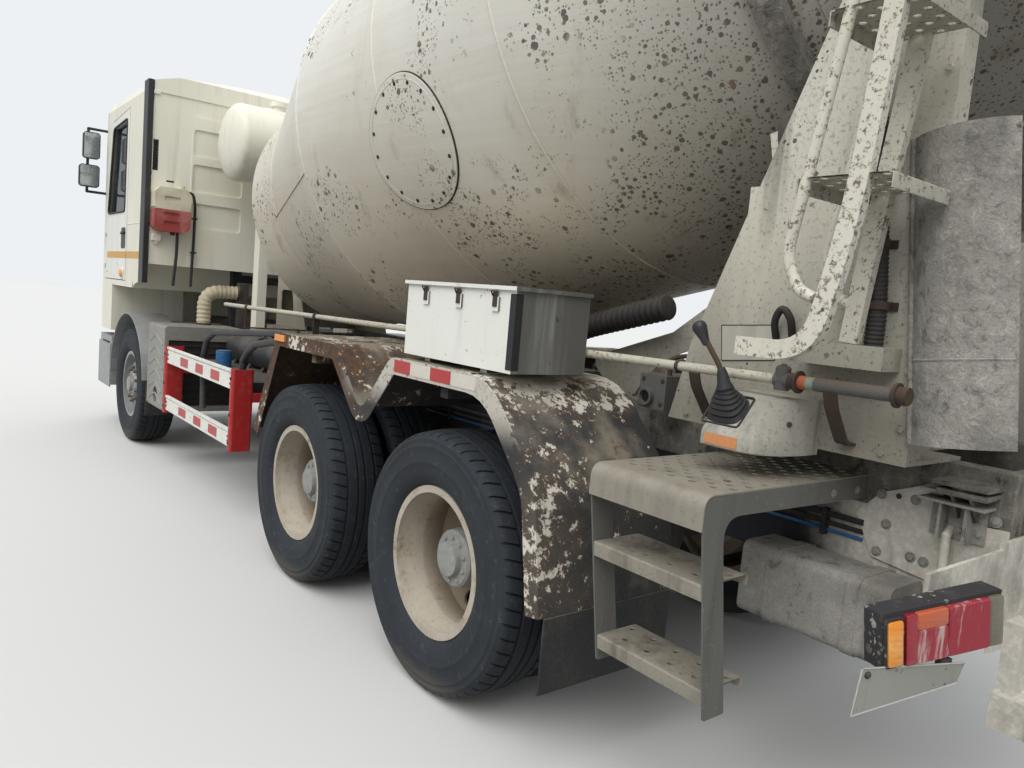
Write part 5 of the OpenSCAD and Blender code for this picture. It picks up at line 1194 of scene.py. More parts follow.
class MIXER_OT_side_trim(bpy.types.Operator):
    """Tape, reflectors, latches, ribs and air lines along the sides"""
    bl_idname = "mixer.side_trim"
    bl_label = "Side trim"

    LIP_Y = 1.250
    RAIL_FACE, POST_FACE = 1.196, 1.2103
    # Red reflectors on the guards' rails: their reach in X and in Z
    BLOCKS_X = ((0.564, 0.741), (0.916, 1.082), (1.274, 1.459))
    BLOCKS_Z = ((0.878, 0.942), (0.508, 0.568))
    # Tape on the fenders' lip: its reach in X and its finish
    TAPE = ((-2.220, -2.079, "red_block"), (-2.079, -1.928, "tape_white"), (-1.928, -1.800, "red_block"),
            (-2.380, -2.220, "tape_white"))
    SEAMS_X = (-2.33, -1.70, -0.99)
    # Lines along the rails: height, radius and finish
    LINES = ((0.955, 0.010, "black_rubber"), (0.925, 0.008, "black_rubber"), (0.900, 0.006, "blue"))
    RAIL_Y = 0.4305
    # The sleeve round the air dryer: its foot, and the steps of its seven ribs
    SLEEVE_AT = (1.275, 0.940, 0.899)
    RIB = ((0.0565, 0.012), (0.0565, 0.021), (0.0560, 0.022), (0.0560, 0.025))

    def execute(self, context):
        self.guard_blocks(context.scene.mixer_sizes.bolt)
        self.fender_trim()
        self.toolbox_trim()
        self.box_ribs()
        self.air_lines()
        self.dryer_sleeve()
        return {"FINISHED"}

    def guard_blocks(self, bolt):
        """Red reflectors on the guards' rails, and the bolts of their rails and posts."""
        piece = Piece("red_block")
        for _, sign in SIDES:
            for x0, x1 in self.BLOCKS_X:
                for z0, z1 in self.BLOCKS_Z:
                    outline = panel(x0, x1, z0, z1, 0.006, 2)
                    piece.side_plate(sign, outline, self.RAIL_FACE + CLEAR, self.RAIL_FACE + 0.002)
        piece.pick("cast")
        for _, sign in SIDES:
            for x in (0.345, 1.795):
                rail = [(x, sign * self.RAIL_FACE, z) for z in (0.893, 0.925, 0.525, 0.555)]
                piece.bolts(rail, (0, sign, 0), bolt * 0.6)
            posts = [(x, sign * self.POST_FACE, z) for x in GUARD_POSTS for z in (0.52, 0.70, 0.93)]
            piece.bolts(posts, (0, sign, 0), bolt * 0.7)
        piece.done("guard_reflectors", "chassis", "guard_paint")

    def fender_trim(self):
        """Tape and marker lamps on the fenders' edge, and the seams and bolts of their skins."""
        piece = Piece("red_block")
        for _, sign in SIDES:
            for x0, x1, finish in self.TAPE:
                piece.pick(finish)
                piece.side_slab(sign, (x0 + 0.001, self.LIP_Y, 1.232),
                                (x1 - 0.001, self.LIP_Y + 0.0016, 1.282))
            piece.pick("amber")
            piece.side_slab(sign, (-0.645, self.LIP_Y, 1.246), (-0.515, self.LIP_Y + 0.010, 1.280))
        piece.done("fender_tape", "chassis", "fender_paint", bevel=0.001)
        seams = Piece("fender")
        for _, sign in SIDES:
            for x in self.SEAMS_X:
                seams.side_slab(sign, (x - 0.012, 0.62, 1.2902), (x + 0.012, 1.235, 1.2925))
            seams.bolts([(x, sign * y, 1.290) for x in self.SEAMS_X for y in (0.68, 0.93, 1.20)], (0, 0, 1),
                        0.008)
        seams.done("fender_seams", "chassis", "fender_paint")

    def toolbox_trim(self):
        """Latches over the hasps and a rubber strip down the rear corner."""
        low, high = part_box("toolbox")
        y = high[1]
        piece = Piece("dark_rusty")
        for i in range(3):
            x = low[0] + 0.110 + 0.230 * i
            piece.slab((x - 0.012, y - 0.001, 1.535), (x + 0.012, y + 0.004, 1.592))
            bail = [(x - 0.010, y + 0.004, 1.572), (x - 0.010, y + 0.014, 1.590),
                    (x + 0.010, y + 0.014, 1.590),
                    (x + 0.010, y + 0.004, 1.572)]
            piece.tube(rounded(bail, 0.006), 0.003, 6)
        piece.done("toolbox_latches", "chassis", "toolbox_paint", bevel=0.001)
        strip = Piece("black_rubber")
        x, y = low[0], high[1] - 0.008
        outline = [(x - 0.002, y - 0.03), (x - 0.002, y + 0.002), (x + 0.03, y + 0.002),
                   (x + 0.03, y + CLEAR), (x - CLEAR, y + CLEAR), (x - CLEAR, y - 0.03)]
        strip.profile(outline, "Z", 1.322, 1.585)
        strip.done("toolbox_corner", "chassis", "toolbox_paint")

    def box_ribs(self):
        """Ribs and bolts of the boxes behind the cab, and a dark plate of painted shade with slats across it
        in the recess at the back of the silencer's box.
        """
        piece = Piece("silver")
        for node, sign in (("silencer", 1), ("battery_box", -1)):
            low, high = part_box(node)
            y = high[1] if sign > 0 else low[1]
            xs = (low[0] + 0.055, (low[0] + high[0]) / 2, high[0] - 0.055)
            for i in range(6):
                z = 1.06 - i * 0.095
                rib = [(x, y - sign * 0.001, z - drop) for x, drop in zip(xs, (0.075, 0.0, 0.075))]
                piece.tube(rounded(rib, 0.05), 0.007, 8)
            corners = [(x, y, z) for x in (low[0] + 0.025, high[0] - 0.025) for z in (1.115, 0.80, 0.48)]
            piece.bolts(corners, (0, sign, 0), 0.008)
        piece.done("box_ribs", "chassis", "box_metal")
        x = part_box("silencer")[0][0]
        # Painted shade: a dark plate at the back of the silencer box's recess, with dark slats across it
        back = Piece("burnt")
        back.slab((x + 0.012, 0.605, 0.505), (x + 0.0197, 1.165, 1.025))
        for i in range(9):
            z = 0.54 + i * 0.055
            back.slab((x + 0.004, 0.62, z), (x + 0.0125, 1.15, z + 0.012))
        back.done("silencer_shield", "chassis", "box_metal", bevel=0.001)

    def air_lines(self):
        """Air and brake lines clipped along the rails, with their wiring."""
        piece = Piece("black_rubber")
        for _, sign in SIDES:
            for z, radius, finish in self.LINES:
                piece.pick(finish)
                piece.tube([(x, sign * (self.RAIL_Y + radius), z) for x in (-3.42, 2.30)], radius, 8)
            piece.pick("black_rubber")
            for i in range(13):
                x = -3.30 + i * 0.45
                piece.side_slab(sign, (x, self.RAIL_Y, 0.885), (x + 0.018, 0.455, 0.972))
        piece.done("air_lines", "chassis", "hose_rubber")

    def dryer_sleeve(self):
        """The ribbed blue sleeve round the air dryer."""
        ribs = [(r, z + 0.014 * i) for i in range(7) for r, z in self.RIB]
        piece = Piece("blue")
        piece.turned([(0.050, 0.0), (0.0555, 0.003), *ribs, (0.0555, 0.116), (0.045, 0.1205), (0, 0.1205)],
                     aimed(self.SLEEVE_AT, (0, 0, 1)), 40)
        piece.done("air_dryer_sleeve", "chassis", "tank_plastic")


class MIXER_OT_platform(bpy.types.Operator):
    """The platform beside the lever and its two steps, in perforated plate"""
    bl_idname = "mixer.platform"
    bl_label = "Platform"

    # The treads: their inner and outer edge in Y, and their height
    TREADS = ((1.015, 1.216, 0.868), (0.985, 1.162, 0.565))
    SHEET, WALL, ROLL = 0.004, 0.006, 0.045

    def execute(self, context):
        (x0, y0, _), (x1, y1, top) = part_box("platform_steps")
        hole = context.scene.mixer_sizes.hole
        start, end, wide = x0 + self.WALL, x1 - self.WALL, (x1 - x0 - 2 * self.WALL, 0, 0)
        reach = y1 - 2.1 * self.ROLL
        piece = Piece("steps")
        piece.sheet((start, y0, top), wide, (0, reach - y0, 0), (11, 20), hole * 1.15, self.SHEET)
        lip = rounded([(reach, top), (y1, top), (y1, top - 0.095)], self.ROLL, 8)
        piece.profile(band(lip, 0.0, -0.005), "X", x0, x1)
        for wall in (x0, end):
            piece.pick("step_sides")
            piece.profile(self.side(y0, y1, top), "X", wall, wall + self.WALL)
            piece.pick("steps")
            piece.slab((wall, y0, top - self.SHEET), (wall + self.WALL, reach, top))
        for inner, outer, z in self.TREADS:
            depth = (0, outer - inner - 0.020, 0)
            piece.sheet((start, inner + 0.006, z), wide, depth, (9, 2), hole, self.SHEET)
            back = [(inner, z - 0.030), (inner, z - 0.006), (inner + 0.006, z)]
            front = rounded([(outer - 0.014, z), (outer, z), (outer - 0.006, z - 0.045)], 0.012)
            for edge in (back, front):
                piece.profile(band(edge, 0.0, -self.SHEET), "X", start, end)
        piece.bolts([(x0 - CLEAR, y0 + y, top - 0.045) for y in (0.06, 0.20)], (-1, 0, 0), 0.009)
        piece.done("platform_and_steps", "chassis", "grey_steel", bevel=0.0012,
                   stands_for=("platform_steps",))
        return {"FINISHED"}

    def side(self, y0, y1, top):
        """The side plate curves down into the leaning leg."""
        corners = [(y0, top - 0.075), (1.165, top - 0.065), (1.062, 0.480), (1.152, 0.480),
                   (y1 - 0.005, top - 0.080), (y1 - 0.005, top - 0.004), (y0, top - 0.004)]
        return rounded(corners, [0.080, 0.008, 0.008, 0.120, 0.040], 8)


class MIXER_OT_ladder(bpy.types.Operator):
    """The ladder with perforated channel treads and its hand rails"""
    bl_idname = "mixer.ladder"
    bl_label = "Ladder"

    OUTER_Y, INNER_Y = 1.050, 0.790
    # Places in X behind the last axle and in Z
    OUTER_RAIL = ((-1.186, 1.492), (-1.400, 1.492), (-1.471, 1.824), (-1.511, 2.320), (-1.605, 3.400))
    INNER_RAIL = ((-1.361, 1.524), (-1.380, 1.724), (-1.458, 2.410), (-1.545, 3.400))
    HAND_RAIL = ((-1.394, 1.630), (-1.345, 1.650), (-1.303, 1.735), (-1.402, 2.347), (-1.500, 3.350),
                 (-1.590, 3.350))
    # Height of the lowest tread, the rise to the next, and how far the ladder leans back per metre of rise
    FIRST, RISE, LEAN = 1.930, 0.400, 0.087

    def execute(self, context):
        piece = Piece("ladder")
        for path, y in ((rounded(self.OUTER_RAIL, [0.16, 0.6, 0.9], 8), self.OUTER_Y),
                        (rounded(self.INNER_RAIL, [0.3, 0.3], 6), self.INNER_Y)):
            piece.profile(band([(LAST_AXLE + p.x, p.y) for p in path], 0.025, -0.025), "Y", y - 0.015,
                          y + 0.015)
        for i in range(4):
            self.tread(piece, self.FIRST + self.RISE * i, context.scene.mixer_sizes.hole)
        foot = [(LAST_AXLE - 1.205, y, 1.492) for y in (0.805, self.OUTER_Y - 0.010)]
        piece.tube(foot, 0.014, 12)
        for y, shift in ((self.OUTER_Y, 0.0), (self.INNER_Y, 0.045)):
            rail = [(LAST_AXLE + x + shift, y, z) for x, z in self.HAND_RAIL]
            piece.tube(rounded(rail, 0.12, 7), 0.0155, 12)
        piece.done("ladder_dressed", "chassis", "cream_paint", bevel=0.0015, stands_for=("ladder",))
        return {"FINISHED"}

    def tread(self, piece, z, hole):
        """A channel of perforated plate with its edges turned down."""
        x = LAST_AXLE - 1.440 - (z - self.FIRST) * self.LEAN
        y0, y1 = self.INNER_Y - 0.014, self.OUTER_Y + 0.014
        piece.pick("tread")
        piece.sheet((x - 0.120, y0, z), (0.240, 0, 0), (0, y1 - y0, 0), (6, 9), hole, 0.004)
        for side in (-1, 1):
            edge = rounded([(x + side * 0.112, z), (x + side * 0.125, z), (x + side * 0.125, z - 0.038)],
                           0.010)
            piece.profile(band(edge, 0.0, 0.004 * -side), "Y", y0, y1)
        piece.pick("ladder")


class MIXER_OT_controls(bpy.types.Operator):
    """The lever in its boot, its housing, the long rod with clamps, the valve block and the dark hose"""
    bl_idname = "mixer.controls"
    bl_label = "Controls"

    PLATE_Y = 0.700
    # The housing: rows of height and reach in Y, its rear, the start of its round cheek and its front in X
    ROWS = ((1.182, 0.954), (1.186, 0.960), (1.222, 0.960), (1.232, 0.955), (1.324, 0.876), (1.338, 0.862),
            (1.345, 0.845))
    BACK, EDGE, FRONT = -3.380, -3.290, -3.144
    LABEL = (-3.280, -3.165, 1.190, 1.222)
    # The lower and upper edge of its sloping face in Y and Z
    FACE = ((0.960, 1.225), (0.868, 1.335))
    BOOT = Vector((-3.196, 0.904, 1.292))
    BOOT_HALF = (0.062, 0.052)
    BOOT_TOP = Vector((-3.198, 0.934, 1.360))
    FOLDS = 6
    KNOB = Vector((-3.106, 0.956, 1.520))
    # The long rod: its ends in X and Z, then its lengths with radius and finish
    ROD = ((-3.685, 1.402), (1.6257, 1.350))
    LENGTHS = ((-3.300, 1.6257, 0.0155, "rod"), (-3.425, -3.398, 0.019, "sleeve_green"),
               (-3.400, -3.362, 0.020, "sleeve_orange"), (-3.650, -3.424, 0.0195, "clamp"),
               (-3.362, -3.345, 0.025, "dark_rusty"), (-3.685, -3.645, 0.024, "dark_rusty"),
               (-3.348, -3.298, 0.0225, "clamp"), (-2.938, -2.925, 0.019, "dark_rusty"))
    # The dark hose behind the last axle, the hose that loops out of the plate, and the hose of the valve
    HOSE = ((-1.330, 2.180), (-1.385, 1.800), (-1.405, 1.600), (-1.405, 1.520))
    CLIPS = ((-1.405, 1.620), (-1.382, 1.790))
    LOOP = ((-3.198, 0.703, 1.510), (-3.204, 0.735, 1.570), (-3.232, 0.742, 1.614), (-3.262, 0.735, 1.580),
            (-3.254, 0.703, 1.515))
    VALVE_HOSE = ((0.03, 0.55, 1.329), (0.03, 0.55, 1.40), (-0.06, 0.50, 1.42), (-0.16, 0.46, 1.30),
                  (-0.20, 0.44, 1.21))

    def execute(self, context):
        piece = Piece("lever_box")
        self.housing(piece)
        self.boot(piece)
        self.lever(piece)
        self.rod(piece)
        self.brackets(piece)
        self.valve(piece, context.scene.mixer_sizes.bolt)
        self.hoses(piece)
        piece.done("controls_dressed", "chassis", "grey_steel", bevel=0.0015, angle=40.0,
                   stands_for=("control_stand",))
        self.plate_fittings()
        return {"FINISHED"}

    def housing(self, piece):
        """A folded cover whose rear cheek rounds back to the plate, with a screw and a bare orange label."""
        rings = []
        for z, y in self.ROWS:
            ring = [(self.FRONT, self.PLATE_Y, z), (self.FRONT, y - 0.008, z), (self.FRONT - 0.008, y, z)]
            for i in range(9):
                a = math.pi / 2 * i / 8
                reach = (y - self.PLATE_Y) * (0.18 + 0.82 * math.cos(a))
                ring.append((self.EDGE + (self.BACK - self.EDGE) * math.sin(a), self.PLATE_Y + reach, z))
            rings.append(ring + [(self.BACK, self.PLATE_Y, z)])
        piece.loft(rings)
        piece.pick("dark_rusty")
        screw = aimed((-3.368, 0.845, 1.275), (-0.8, 0.6, 0))
        piece.turned([(0.008, 0), (0.008, 0.0015), (0, 0.0015)], screw, 12)
        piece.pick("label")
        x0, x1, z0, z1 = self.LABEL
        low = [Vector((x, 0.9604, z)) for x, z in ((x0, z0), (x1, z0), (x1, z1), (x0, z1))]
        piece.loft([low, [p + Vector((0, 0.0015, 0.0004)) for p in low]])

    def boot(self, piece):
        """Rubber folds that shrink from the base on the sloping face to the collar."""
        piece.pick("boot")
        (y0, z0), (y1, z1) = self.FACE
        slope = Vector((0, y1 - y0, z1 - z0)).normalized()
        half_x, half_y = self.BOOT_HALF
        rings, rows = [], self.FOLDS * 4
        for i in range(rows + 1):
            t = i / rows
            wave = 1.0 - 0.13 * (0.5 - 0.5 * math.cos(math.tau * self.FOLDS * t)) * (1 - 0.3 * t)
            middle = self.BOOT.lerp(self.BOOT_TOP, t ** 0.8)
            up = slope.lerp(Vector((0, -1, 0.15)), t * 0.75).normalized()
            wide = (half_x * (1 - t) + 0.026 * t) * wave
            tall = (half_y * (1 - t) + 0.020 * t) * wave
            square = 0.55 + 0.45 * t
            ring = []
            for a in turns(28):
                c, s = math.cos(a), math.sin(a)
                ring.append(middle + Vector((1, 0, 0)) * wide * math.copysign(abs(c) ** square, c)
                            + up * tall * math.copysign(abs(s) ** square, s))
            rings.append(ring)
        piece.loft(rings)
        corners = [(x * half_x, y * half_y) for x, y in ((-1, -1), (1, -1), (1, 1), (-1, 1))]
        rim = [self.BOOT + Vector((x * 1.06, 0, 0)) + slope * y * 1.06 for x, y in corners]
        piece.hoop(closed(rim, 0.01), 0.004)

    def lever(self, piece):
        """The collar above the boot, the cranked stem and the knob."""
        top = self.BOOT_TOP
        piece.pick("boot")
        collar = [(0.027, -0.006), (0.024, 0.004), (0.020, 0.012), (0.015, 0.045), (0.011, 0.058),
                  (0.010, 0.060)]
        piece.turned(collar, aimed(top, (0.25, 0.15, 1.0)), 24)
        piece.pick("dark_rusty")
        piece.tube(rounded([top, top + Vector((0.018, 0.008, 0.058)), self.KNOB], 0.03), 0.008)
        piece.pick("black_plastic")
        knob = [(0, -0.050), (0.011, -0.046), (0.013, -0.030), (0.018, -0.010), (0.022, 0.008),
                (0.021, 0.019), (0.015, 0.027), (0.006, 0.030), (0, 0.030)]
        piece.turned(knob, aimed(self.KNOB, (self.KNOB - top).normalized()), 28)

    def rod_at(self, x):
        (x0, z0), (x1, z1) = self.ROD
        return Vector((x, 0.830, z0 + (z1 - z0) * (x - x0) / (x1 - x0)))

    def rod(self, piece):
        """The rod, and from its clamp back an orange sleeve, a green one and a grey tube."""
        for x0, x1, radius, finish in self.LENGTHS:
            piece.pick(finish)
            piece.tube([self.rod_at(x) for x in (x0, (x0 + x1) / 2, x1)], radius, 18)
        piece.pick("clamp")
        stem = self.rod_at(-3.318)
        piece.turned([(0.022, -0.03), (0.022, 0.035), (0.017, 0.040), (0, 0.040)], aimed(stem, (0, 0, 1)), 20)
        piece.bolts([stem + Vector((0, 0, 0.040))], (0, 0, 1), 0.010)
        piece.pick("dark_rusty")
        along = (self.rod_at(1.0) - self.rod_at(0.0)).normalized()
        for x in (-3.372, -3.655):
            piece.turned([(0.033, -0.004), (0.033, 0.004)], aimed(self.rod_at(x), along), 22)

    def brackets(self, piece):
        """Cranked straps that carry the rod, behind and in front."""
        y = self.PLATE_Y
        piece.pick("dark_rusty")
        for x in (LAST_AXLE - 0.880, LAST_AXLE - 1.350):
            z = self.rod_at(x).z
            path = rounded([(y, 1.235), (y + 0.040, 1.235), (0.822, z - 0.060), (0.840, z - 0.014)], 0.02)
            piece.profile(band(path, -0.004, 0.004), "X", x - 0.020, x + 0.020)
            piece.bolts([(x, y + 0.016, 1.239)], (0, 0, 1), 0.008)
        for x in (-0.075, 1.1257):
            piece.slab((x - 0.020, 0.380, 1.2002), (x + 0.020, 0.850, 1.210))
            piece.slab((x - 0.004, 0.810, 1.200), (x + 0.004, 0.850, self.rod_at(x).z - 0.010))
            piece.turned([(0.024, -0.012), (0.024, 0.012)], aimed(self.rod_at(x), (1, 0, 0)), 18)

    def valve(self, piece, bolt):
        """The valve block on the rail with its open port, whose bore ends in a dark disc of painted shade,
        and a thin hose.
        """
        piece.pick("clamp")
        x0, x1 = LAST_AXLE - 0.565, LAST_AXLE - 0.435
        piece.slab((x0, 0.366, 1.2002), (x1, 0.600, 1.330))
        face = aimed((LAST_AXLE - 0.480, 0.600, 1.245), (0, 1, 0))
        piece.turned([(0.024, 0.006), (0.024, 0.021), (0.034, 0.021), (0.034, 0.0)], face, 32)
        # Painted shade: a dark disc at the bottom of the port's bore
        piece.pick("black_plastic")
        piece.turned([(0.0235, 0.002), (0.0235, 0.0061), (0, 0.0061)], face, 24)
        piece.pick("dark_rusty")
        piece.bolts([(x, 0.600, z) for x in (x0 + 0.018, x1 - 0.018) for z in (1.222, 1.310)], (0, 1, 0),
                    bolt * 0.6)
        piece.tube(rounded([(x0 + x, y, z) for x, y, z in self.VALVE_HOSE], 0.05), 0.009, 8)

    def hoses(self, piece):
        """The ribbed hose down the plate with its clips, and the hose that loops out beside it."""
        piece.pick("hose_black")
        path = spaced(rounded([(LAST_AXLE + x, 0.745, z) for x, z in self.HOSE], 0.25), 0.004)
        piece.ribbed(path, 0.026, 0.0025, (1, 0, 0), 14)
        piece.tube(spaced(rounded(self.LOOP, 0.03), 0.006), 0.0115, 12)
        piece.pick("dark_rusty")
        for shift, z in self.CLIPS:
            x, y = LAST_AXLE + shift, self.PLATE_Y
            piece.slab((x - 0.034, y + CLEAR, z), (x + 0.034, y + 0.006, z + 0.024))
            piece.turned([(0.030, 0), (0.030, 0.022)], aimed((x, 0.745, z + 0.001), (0, 0, 1)), 20)

    def plate_fittings(self):
        """The bare info plate on the pedestal, in its dark outline."""
        corners = [(-2.987, 1.540), (-3.003, 1.424), (-3.201, 1.446), (-3.186, 1.555)]
        face = self.PLATE_Y + 0.0018
        piece = Piece("plate")
        piece.profile(corners, "Y", self.PLATE_Y + CLEAR, face)
        piece.pick("black_rubber")
        piece.hoop([(x, face, z) for x, z in corners], 0.0018)
        piece.done("info_plate", "chassis", "cream_paint")


class MIXER_OT_intake(bpy.types.Operator):
    """The cream bellows from the air pipe and the black ribbed hose"""
    bl_idname = "mixer.intake"
    bl_label = "Intake"

    # The bellows: its place, the rise to its bend and the bend's radius
    AT, RISE, BEND = (2.325, 0.785), 0.150, 0.140
    # Where the bellows ends in Y, and the black hose's path from the last axle on
    END_Y = 0.501
    BLACK = ((0.565, 0.390, 1.2003), (0.565, 0.390, 1.290), (0.075, 0.470, 1.466), (-0.435, 0.480, 1.590))

    def execute(self, context):
        x, y = self.AT
        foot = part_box("silencer")[1][2]
        top = foot + self.RISE + self.BEND
        piece = Piece("bellows")
        path = rounded([(x, y, foot + 0.0003), (x, y, top), (x, self.END_Y, top)], self.BEND * 1.02, 10)
        piece.ribbed(spaced(path, 0.009), 0.060, 0.008, (0, 0.55, 1, 0.55), 24)
        piece.pick("cast")
        piece.slab((x - 0.040, 0.420, 1.0183), (x + 0.040, self.END_Y, top + 0.090))
        piece.turned([(0.064, 0), (0.064, 0.018)], aimed((x, 0.520, top), (0, -1, 0)), 26)
        piece.turned([(0.064, 0), (0.064, 0.016)], aimed((x, y, foot + 0.0003), (0, 0, 1)), 26)
        piece.pick("hose_black")
        black = rounded([(LAST_AXLE + a, b, c) for a, b, c in self.BLACK], 0.16, 8)
        piece.ribbed(spaced(black, 0.008), 0.052, 0.007, (0, 0.6, 1, 0.6), 20)
        piece.done("intake_dressed", "chassis", "hose_rubber", angle=60.0, stands_for=("intake_hose",))
        return {"FINISHED"}


class MIXER_OT_lamps(bpy.types.Operator):
    """Tail lamps with their faded fields, the bare plate below, and head lamps"""
    bl_idname = "mixer.lamps"
    bl_label = "Lamps"

    AT = Vector((-3.890, 0.940, 0.860))
    TURN, ROLL = math.radians(-22.0), math.radians(-9.0)
    LOW, HIGH, SPLIT = -0.018, 0.102, 0.0612
    # The tail lamp's blocks: reach in X, Y and Z, finish, and how far the edge of a lens is cut back
    BLOCKS = ((-0.026, 0.030, -0.140, 0.196, LOW - 0.006, HIGH + 0.010, "lamp_rubber", 0.0),
              (-0.034, 0.010, 0.142, 0.192, LOW + 0.002, HIGH - 0.002, "lamp_rubber", 0.0),
              (-0.041, -0.020, 0.148, 0.187, LOW + 0.006, HIGH - 0.008, "amber", 0.003),
              (-0.040, -0.020, 0.108, 0.138, LOW, HIGH, "lens_crimson", 0.003),
              (-0.0395, -0.020, 0.024, 0.109, LOW, SPLIT, "lens_flaky", 0.002),
              (-0.0395, -0.020, 0.024, 0.109, SPLIT, HIGH, "lens_orange", 0.002),
              (-0.040, -0.020, -0.094, 0.0225, LOW, HIGH, "lens_worn", 0.003),
              (-0.039, -0.020, -0.134, -0.0945, LOW, HIGH, "lens_smoke", 0.003))
    PLATE = ((0.248, -0.040), (0.262, -0.150), (-0.020, -0.088), (-0.034, -0.040))
    PLATE_X = -0.032
    # The head lamp's middle in Y, its face in X, and its lenses: shift in Y, radius and finish
    HEAD_Y, HEAD_X = 0.820, 4.4690
    LENSES = ((-0.085, 0.052, "lens_clear"), (0.045, 0.052, "lens_clear"), (0.140, 0.026, "amber"))

    def execute(self, context):
        rear, front, plate = Piece("lamp_rubber"), Piece("black_plastic"), Piece("plate_grey")
        for _, sign in SIDES:
            mirror = Matrix.Scale(sign, 4, (0, 1, 0))
            seat = mirror @ Matrix.Translation(self.AT) @ Matrix.Rotation(self.TURN, 4, "Z")
            tilted = seat @ Matrix.Rotation(self.ROLL, 4, "X")
            for block in self.BLOCKS:
                self.block(rear, tilted, *block)
            self.bare_plate(plate, seat)
            self.head_lamp(front, sign)
        rear.done("tail_lamps", "chassis", "lamp_plastic", bevel=0.0025, stands_for=("lamps",))
        front.done("head_lamps", "chassis", "lamp_plastic", bevel=0.0015, stands_for=("lamps",))
        plate.done("bare_plates", "chassis", "grey_steel")
        return {"FINISHED"}

    def block(self, piece, seat, x0, x1, y0, y1, z0, z1, finish, chamfer):
        """A block with rounded corners whose face may be cut back round its edge."""
        piece.pick(finish)
        outline = panel(y0, y1, z0, z1, 0.007, 3)
        rings = [[seat @ Vector((x, *p)) for p in outline] for x in (x1, x0 + chamfer)]
        if chamfer:
            mid = Vector(((y0 + y1) / 2, (z0 + z1) / 2))
            shrink = 1 - 2 * chamfer / min(y1 - y0, z1 - z0)
            rings.append([seat @ Vector((x0, *(mid + (p - mid) * shrink))) for p in outline])
        piece.loft(rings)

    def bare_plate(self, piece, seat):
        """The bent plate with its bright edge, a bolt and two tabs."""
        piece.pick("plate_grey")
        piece.loft([[seat @ Vector((x, *p)) for p in self.PLATE]
                    for x in (self.PLATE_X + 0.002, self.PLATE_X)])
        piece.pick("bright_edge")
        piece.hoop([seat @ Vector((self.PLATE_X, *p)) for p in self.PLATE], 0.0022)
        piece.pick("cast")
        bolt = seat @ Vector((self.PLATE_X, 0.232, -0.056))
        piece.bolts([bolt], seat.to_3x3() @ Vector((-1, 0, 0)), 0.006)
        for y in (0.13, 0.0):
            tab = ((y, -0.052), (y + 0.03, -0.052), (y + 0.03, -0.030), (y, -0.030))
            piece.loft([[seat @ Vector((x, *p)) for p in tab] for x in (self.PLATE_X + 0.002, -0.012)])

    def head_lamp(self, piece, sign):
        """A dark panel with three round lenses."""
        y = sign * self.HEAD_Y
        piece.pick("black_plastic")
        piece.profile(panel(y - 0.178, y + 0.178, 0.532, 0.668, 0.025), "X", self.HEAD_X - 0.007, self.HEAD_X)
        for shift, radius, finish in self.LENSES:
            piece.pick(finish)
            lens = [(radius, 0), (radius, 0.002), (radius * 0.8, 0.0045), (0, 0.0055)]
            piece.turned(lens, aimed((self.HEAD_X, y + shift * sign, 0.600), (1, 0, 0)), 32)


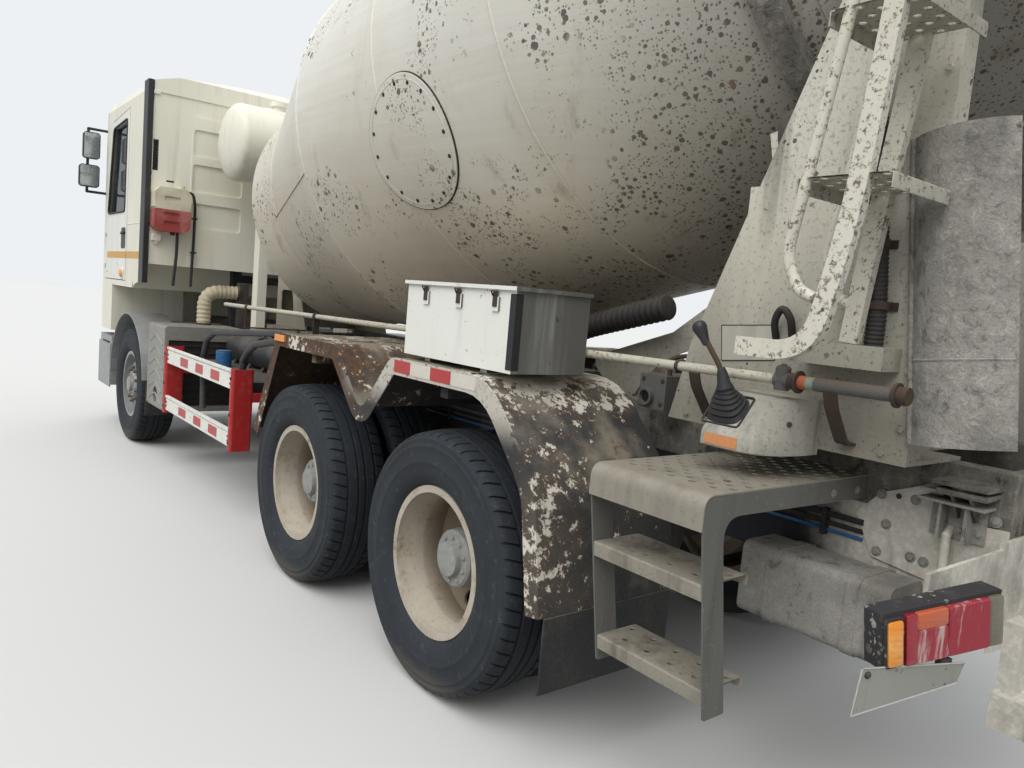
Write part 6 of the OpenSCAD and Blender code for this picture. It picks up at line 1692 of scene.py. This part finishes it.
class MIXER_OT_rear_trim(bpy.types.Operator):
    """Bolts, holes drawn as dark discs of painted shade, the flanged bracket on the rear plates, and the
    trough's seam
    """
    bl_idname = "mixer.rear_trim"
    bl_label = "Rear trim"

    FACE_Y = 0.440
    BOLTS = ((-3.465, 1.061), (-3.568, 1.068), (-3.490, 0.971), (-3.471, 0.879), (-3.575, 0.892),
             (-3.614, 0.889), (-3.790, 1.061))
    HOLES = ((-3.517, 1.067), (-3.759, 1.059), (-3.662, 0.893))
    # The flanged bracket: reach of its plates in X, outer face in Y, and reach in Z
    BRACKET = ((-3.786, -3.607, 0.520, 1.120, 1.128), (-3.786, -3.607, 0.520, 1.092, 1.100),
               (-3.770, -3.620, 0.448, 0.985, 1.092), (-3.738, -3.730, 0.505, 0.985, 1.094),
               (-3.668, -3.660, 0.505, 0.985, 1.094))
    PEDESTAL_Y = 0.7001
    # The hanging trough: its middle in X and Z, its skin's radius, how low the seam lies, and its lean
    TROUGH_AT = (-3.725, 1.690)
    TROUGH_R, SEAM_DROP = 0.1708, -0.185
    LEAN = math.radians(7.0)

    def execute(self, context):
        bolt = context.scene.mixer_sizes.bolt
        self.plates(bolt)
        self.pedestal_bolts(bolt)
        self.trough()
        return {"FINISHED"}

    def plates(self, bolt):
        """Bolts, holes drawn as dark discs of painted shade, and the flanged bracket on the end plates."""
        piece = Piece("rear_metal")
        for _, sign in SIDES:
            out = (0, sign, 0)
            piece.pick("rear_metal")
            piece.bolts([(x, sign * self.FACE_Y, z) for x, z in self.BOLTS], out, bolt)
            for x0, x1, y, z0, z1 in self.BRACKET:
                piece.side_slab(sign, (x0, self.FACE_Y + CLEAR, z0), (x1, y, z1))
            piece.bolts([(x, sign * 0.448, 1.015) for x in (-3.755, -3.703, -3.640)], out, bolt * 0.8)
            # Painted shade: thin dark discs on the plates' face stand for the holes
            piece.pick("black_rubber")
            for x, z in self.HOLES:
                hole = aimed((x, sign * self.FACE_Y, z), out)
                piece.turned([(0.009, 0), (0.009, 0.0012), (0, 0.0012)], hole, 16)
        piece.done("rear_plate_bolts", "chassis", "grey_steel", bevel=0.001)

    def pedestal_bolts(self, bolt):
        """Bolts along the foot and rear edge of the pedestal's plates."""
        piece = Piece("pedestal")
        for _, sign in SIDES:
            foot = [(-2.88 - 0.115 * i, sign * self.PEDESTAL_Y, 1.225) for i in range(7)]
            edge = [(-3.615, sign * self.PEDESTAL_Y, 1.30 + 0.16 * i) for i in range(9)]
            piece.bolts(foot + edge, (0, sign, 0), bolt * 0.9)
        piece.done("pedestal_bolts", "chassis", "cream_paint")

    def trough(self):
        """A welded seam across the spare trough."""
        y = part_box("spare_chute")[1][1] - self.TROUGH_R
        sin, cos = math.sin(self.LEAN), math.cos(self.LEAN)
        path = []
        for turn in range(-47, 48, 4):
            across = self.TROUGH_R * math.sin(math.radians(turn))
            out = self.TROUGH_R * math.cos(math.radians(turn)) - 0.0015
            path.append((self.TROUGH_AT[0] + across * cos + self.SEAM_DROP * sin, y + out,
                         self.TROUGH_AT[1] - across * sin + self.SEAM_DROP * cos))
        piece = Piece("crust")
        piece.tube(path, 0.004, 6)
        piece.done("trough_seam", "chassis", "grey_steel")


CLASSES = (MixerPaint, MixerSizes, MixerCamera, MIXER_OT_stage, MIXER_OT_finishes, MIXER_OT_tyres,
           MIXER_OT_wheels, MIXER_OT_drum_trim, MIXER_OT_cab_trim, MIXER_OT_side_trim, MIXER_OT_platform,
           MIXER_OT_ladder, MIXER_OT_controls, MIXER_OT_intake, MIXER_OT_lamps, MIXER_OT_rear_trim)
STEPS = tuple(c.bl_idname.split(".")[1] for c in CLASSES if issubclass(c, bpy.types.Operator))


class MIXER_PT_panel(bpy.types.Panel):
    """Lists the steps that dress the truck"""
    bl_idname = "MIXER_PT_panel"
    bl_label = "Concrete Mixer Truck"
    bl_space_type = "VIEW_3D"
    bl_region_type = "UI"
    bl_category = "Mixer"

    def draw(self, context):
        for step in STEPS:
            self.layout.operator("mixer." + step)


def register():
    for item in (*CLASSES, MIXER_PT_panel):
        bpy.utils.register_class(item)
    bpy.types.Scene.mixer_paint = PointerProperty(type=MixerPaint)
    bpy.types.Scene.mixer_sizes = PointerProperty(type=MixerSizes)
    bpy.types.Scene.mixer_camera = PointerProperty(type=MixerCamera)


def unregister():
    del bpy.types.Scene.mixer_paint, bpy.types.Scene.mixer_sizes, bpy.types.Scene.mixer_camera
    for item in reversed((*CLASSES, MIXER_PT_panel)):
        bpy.utils.unregister_class(item)


def main():
    register()
    for step in STEPS:
        getattr(bpy.ops.mixer, step)()


if __name__ == "__main__":
    main()
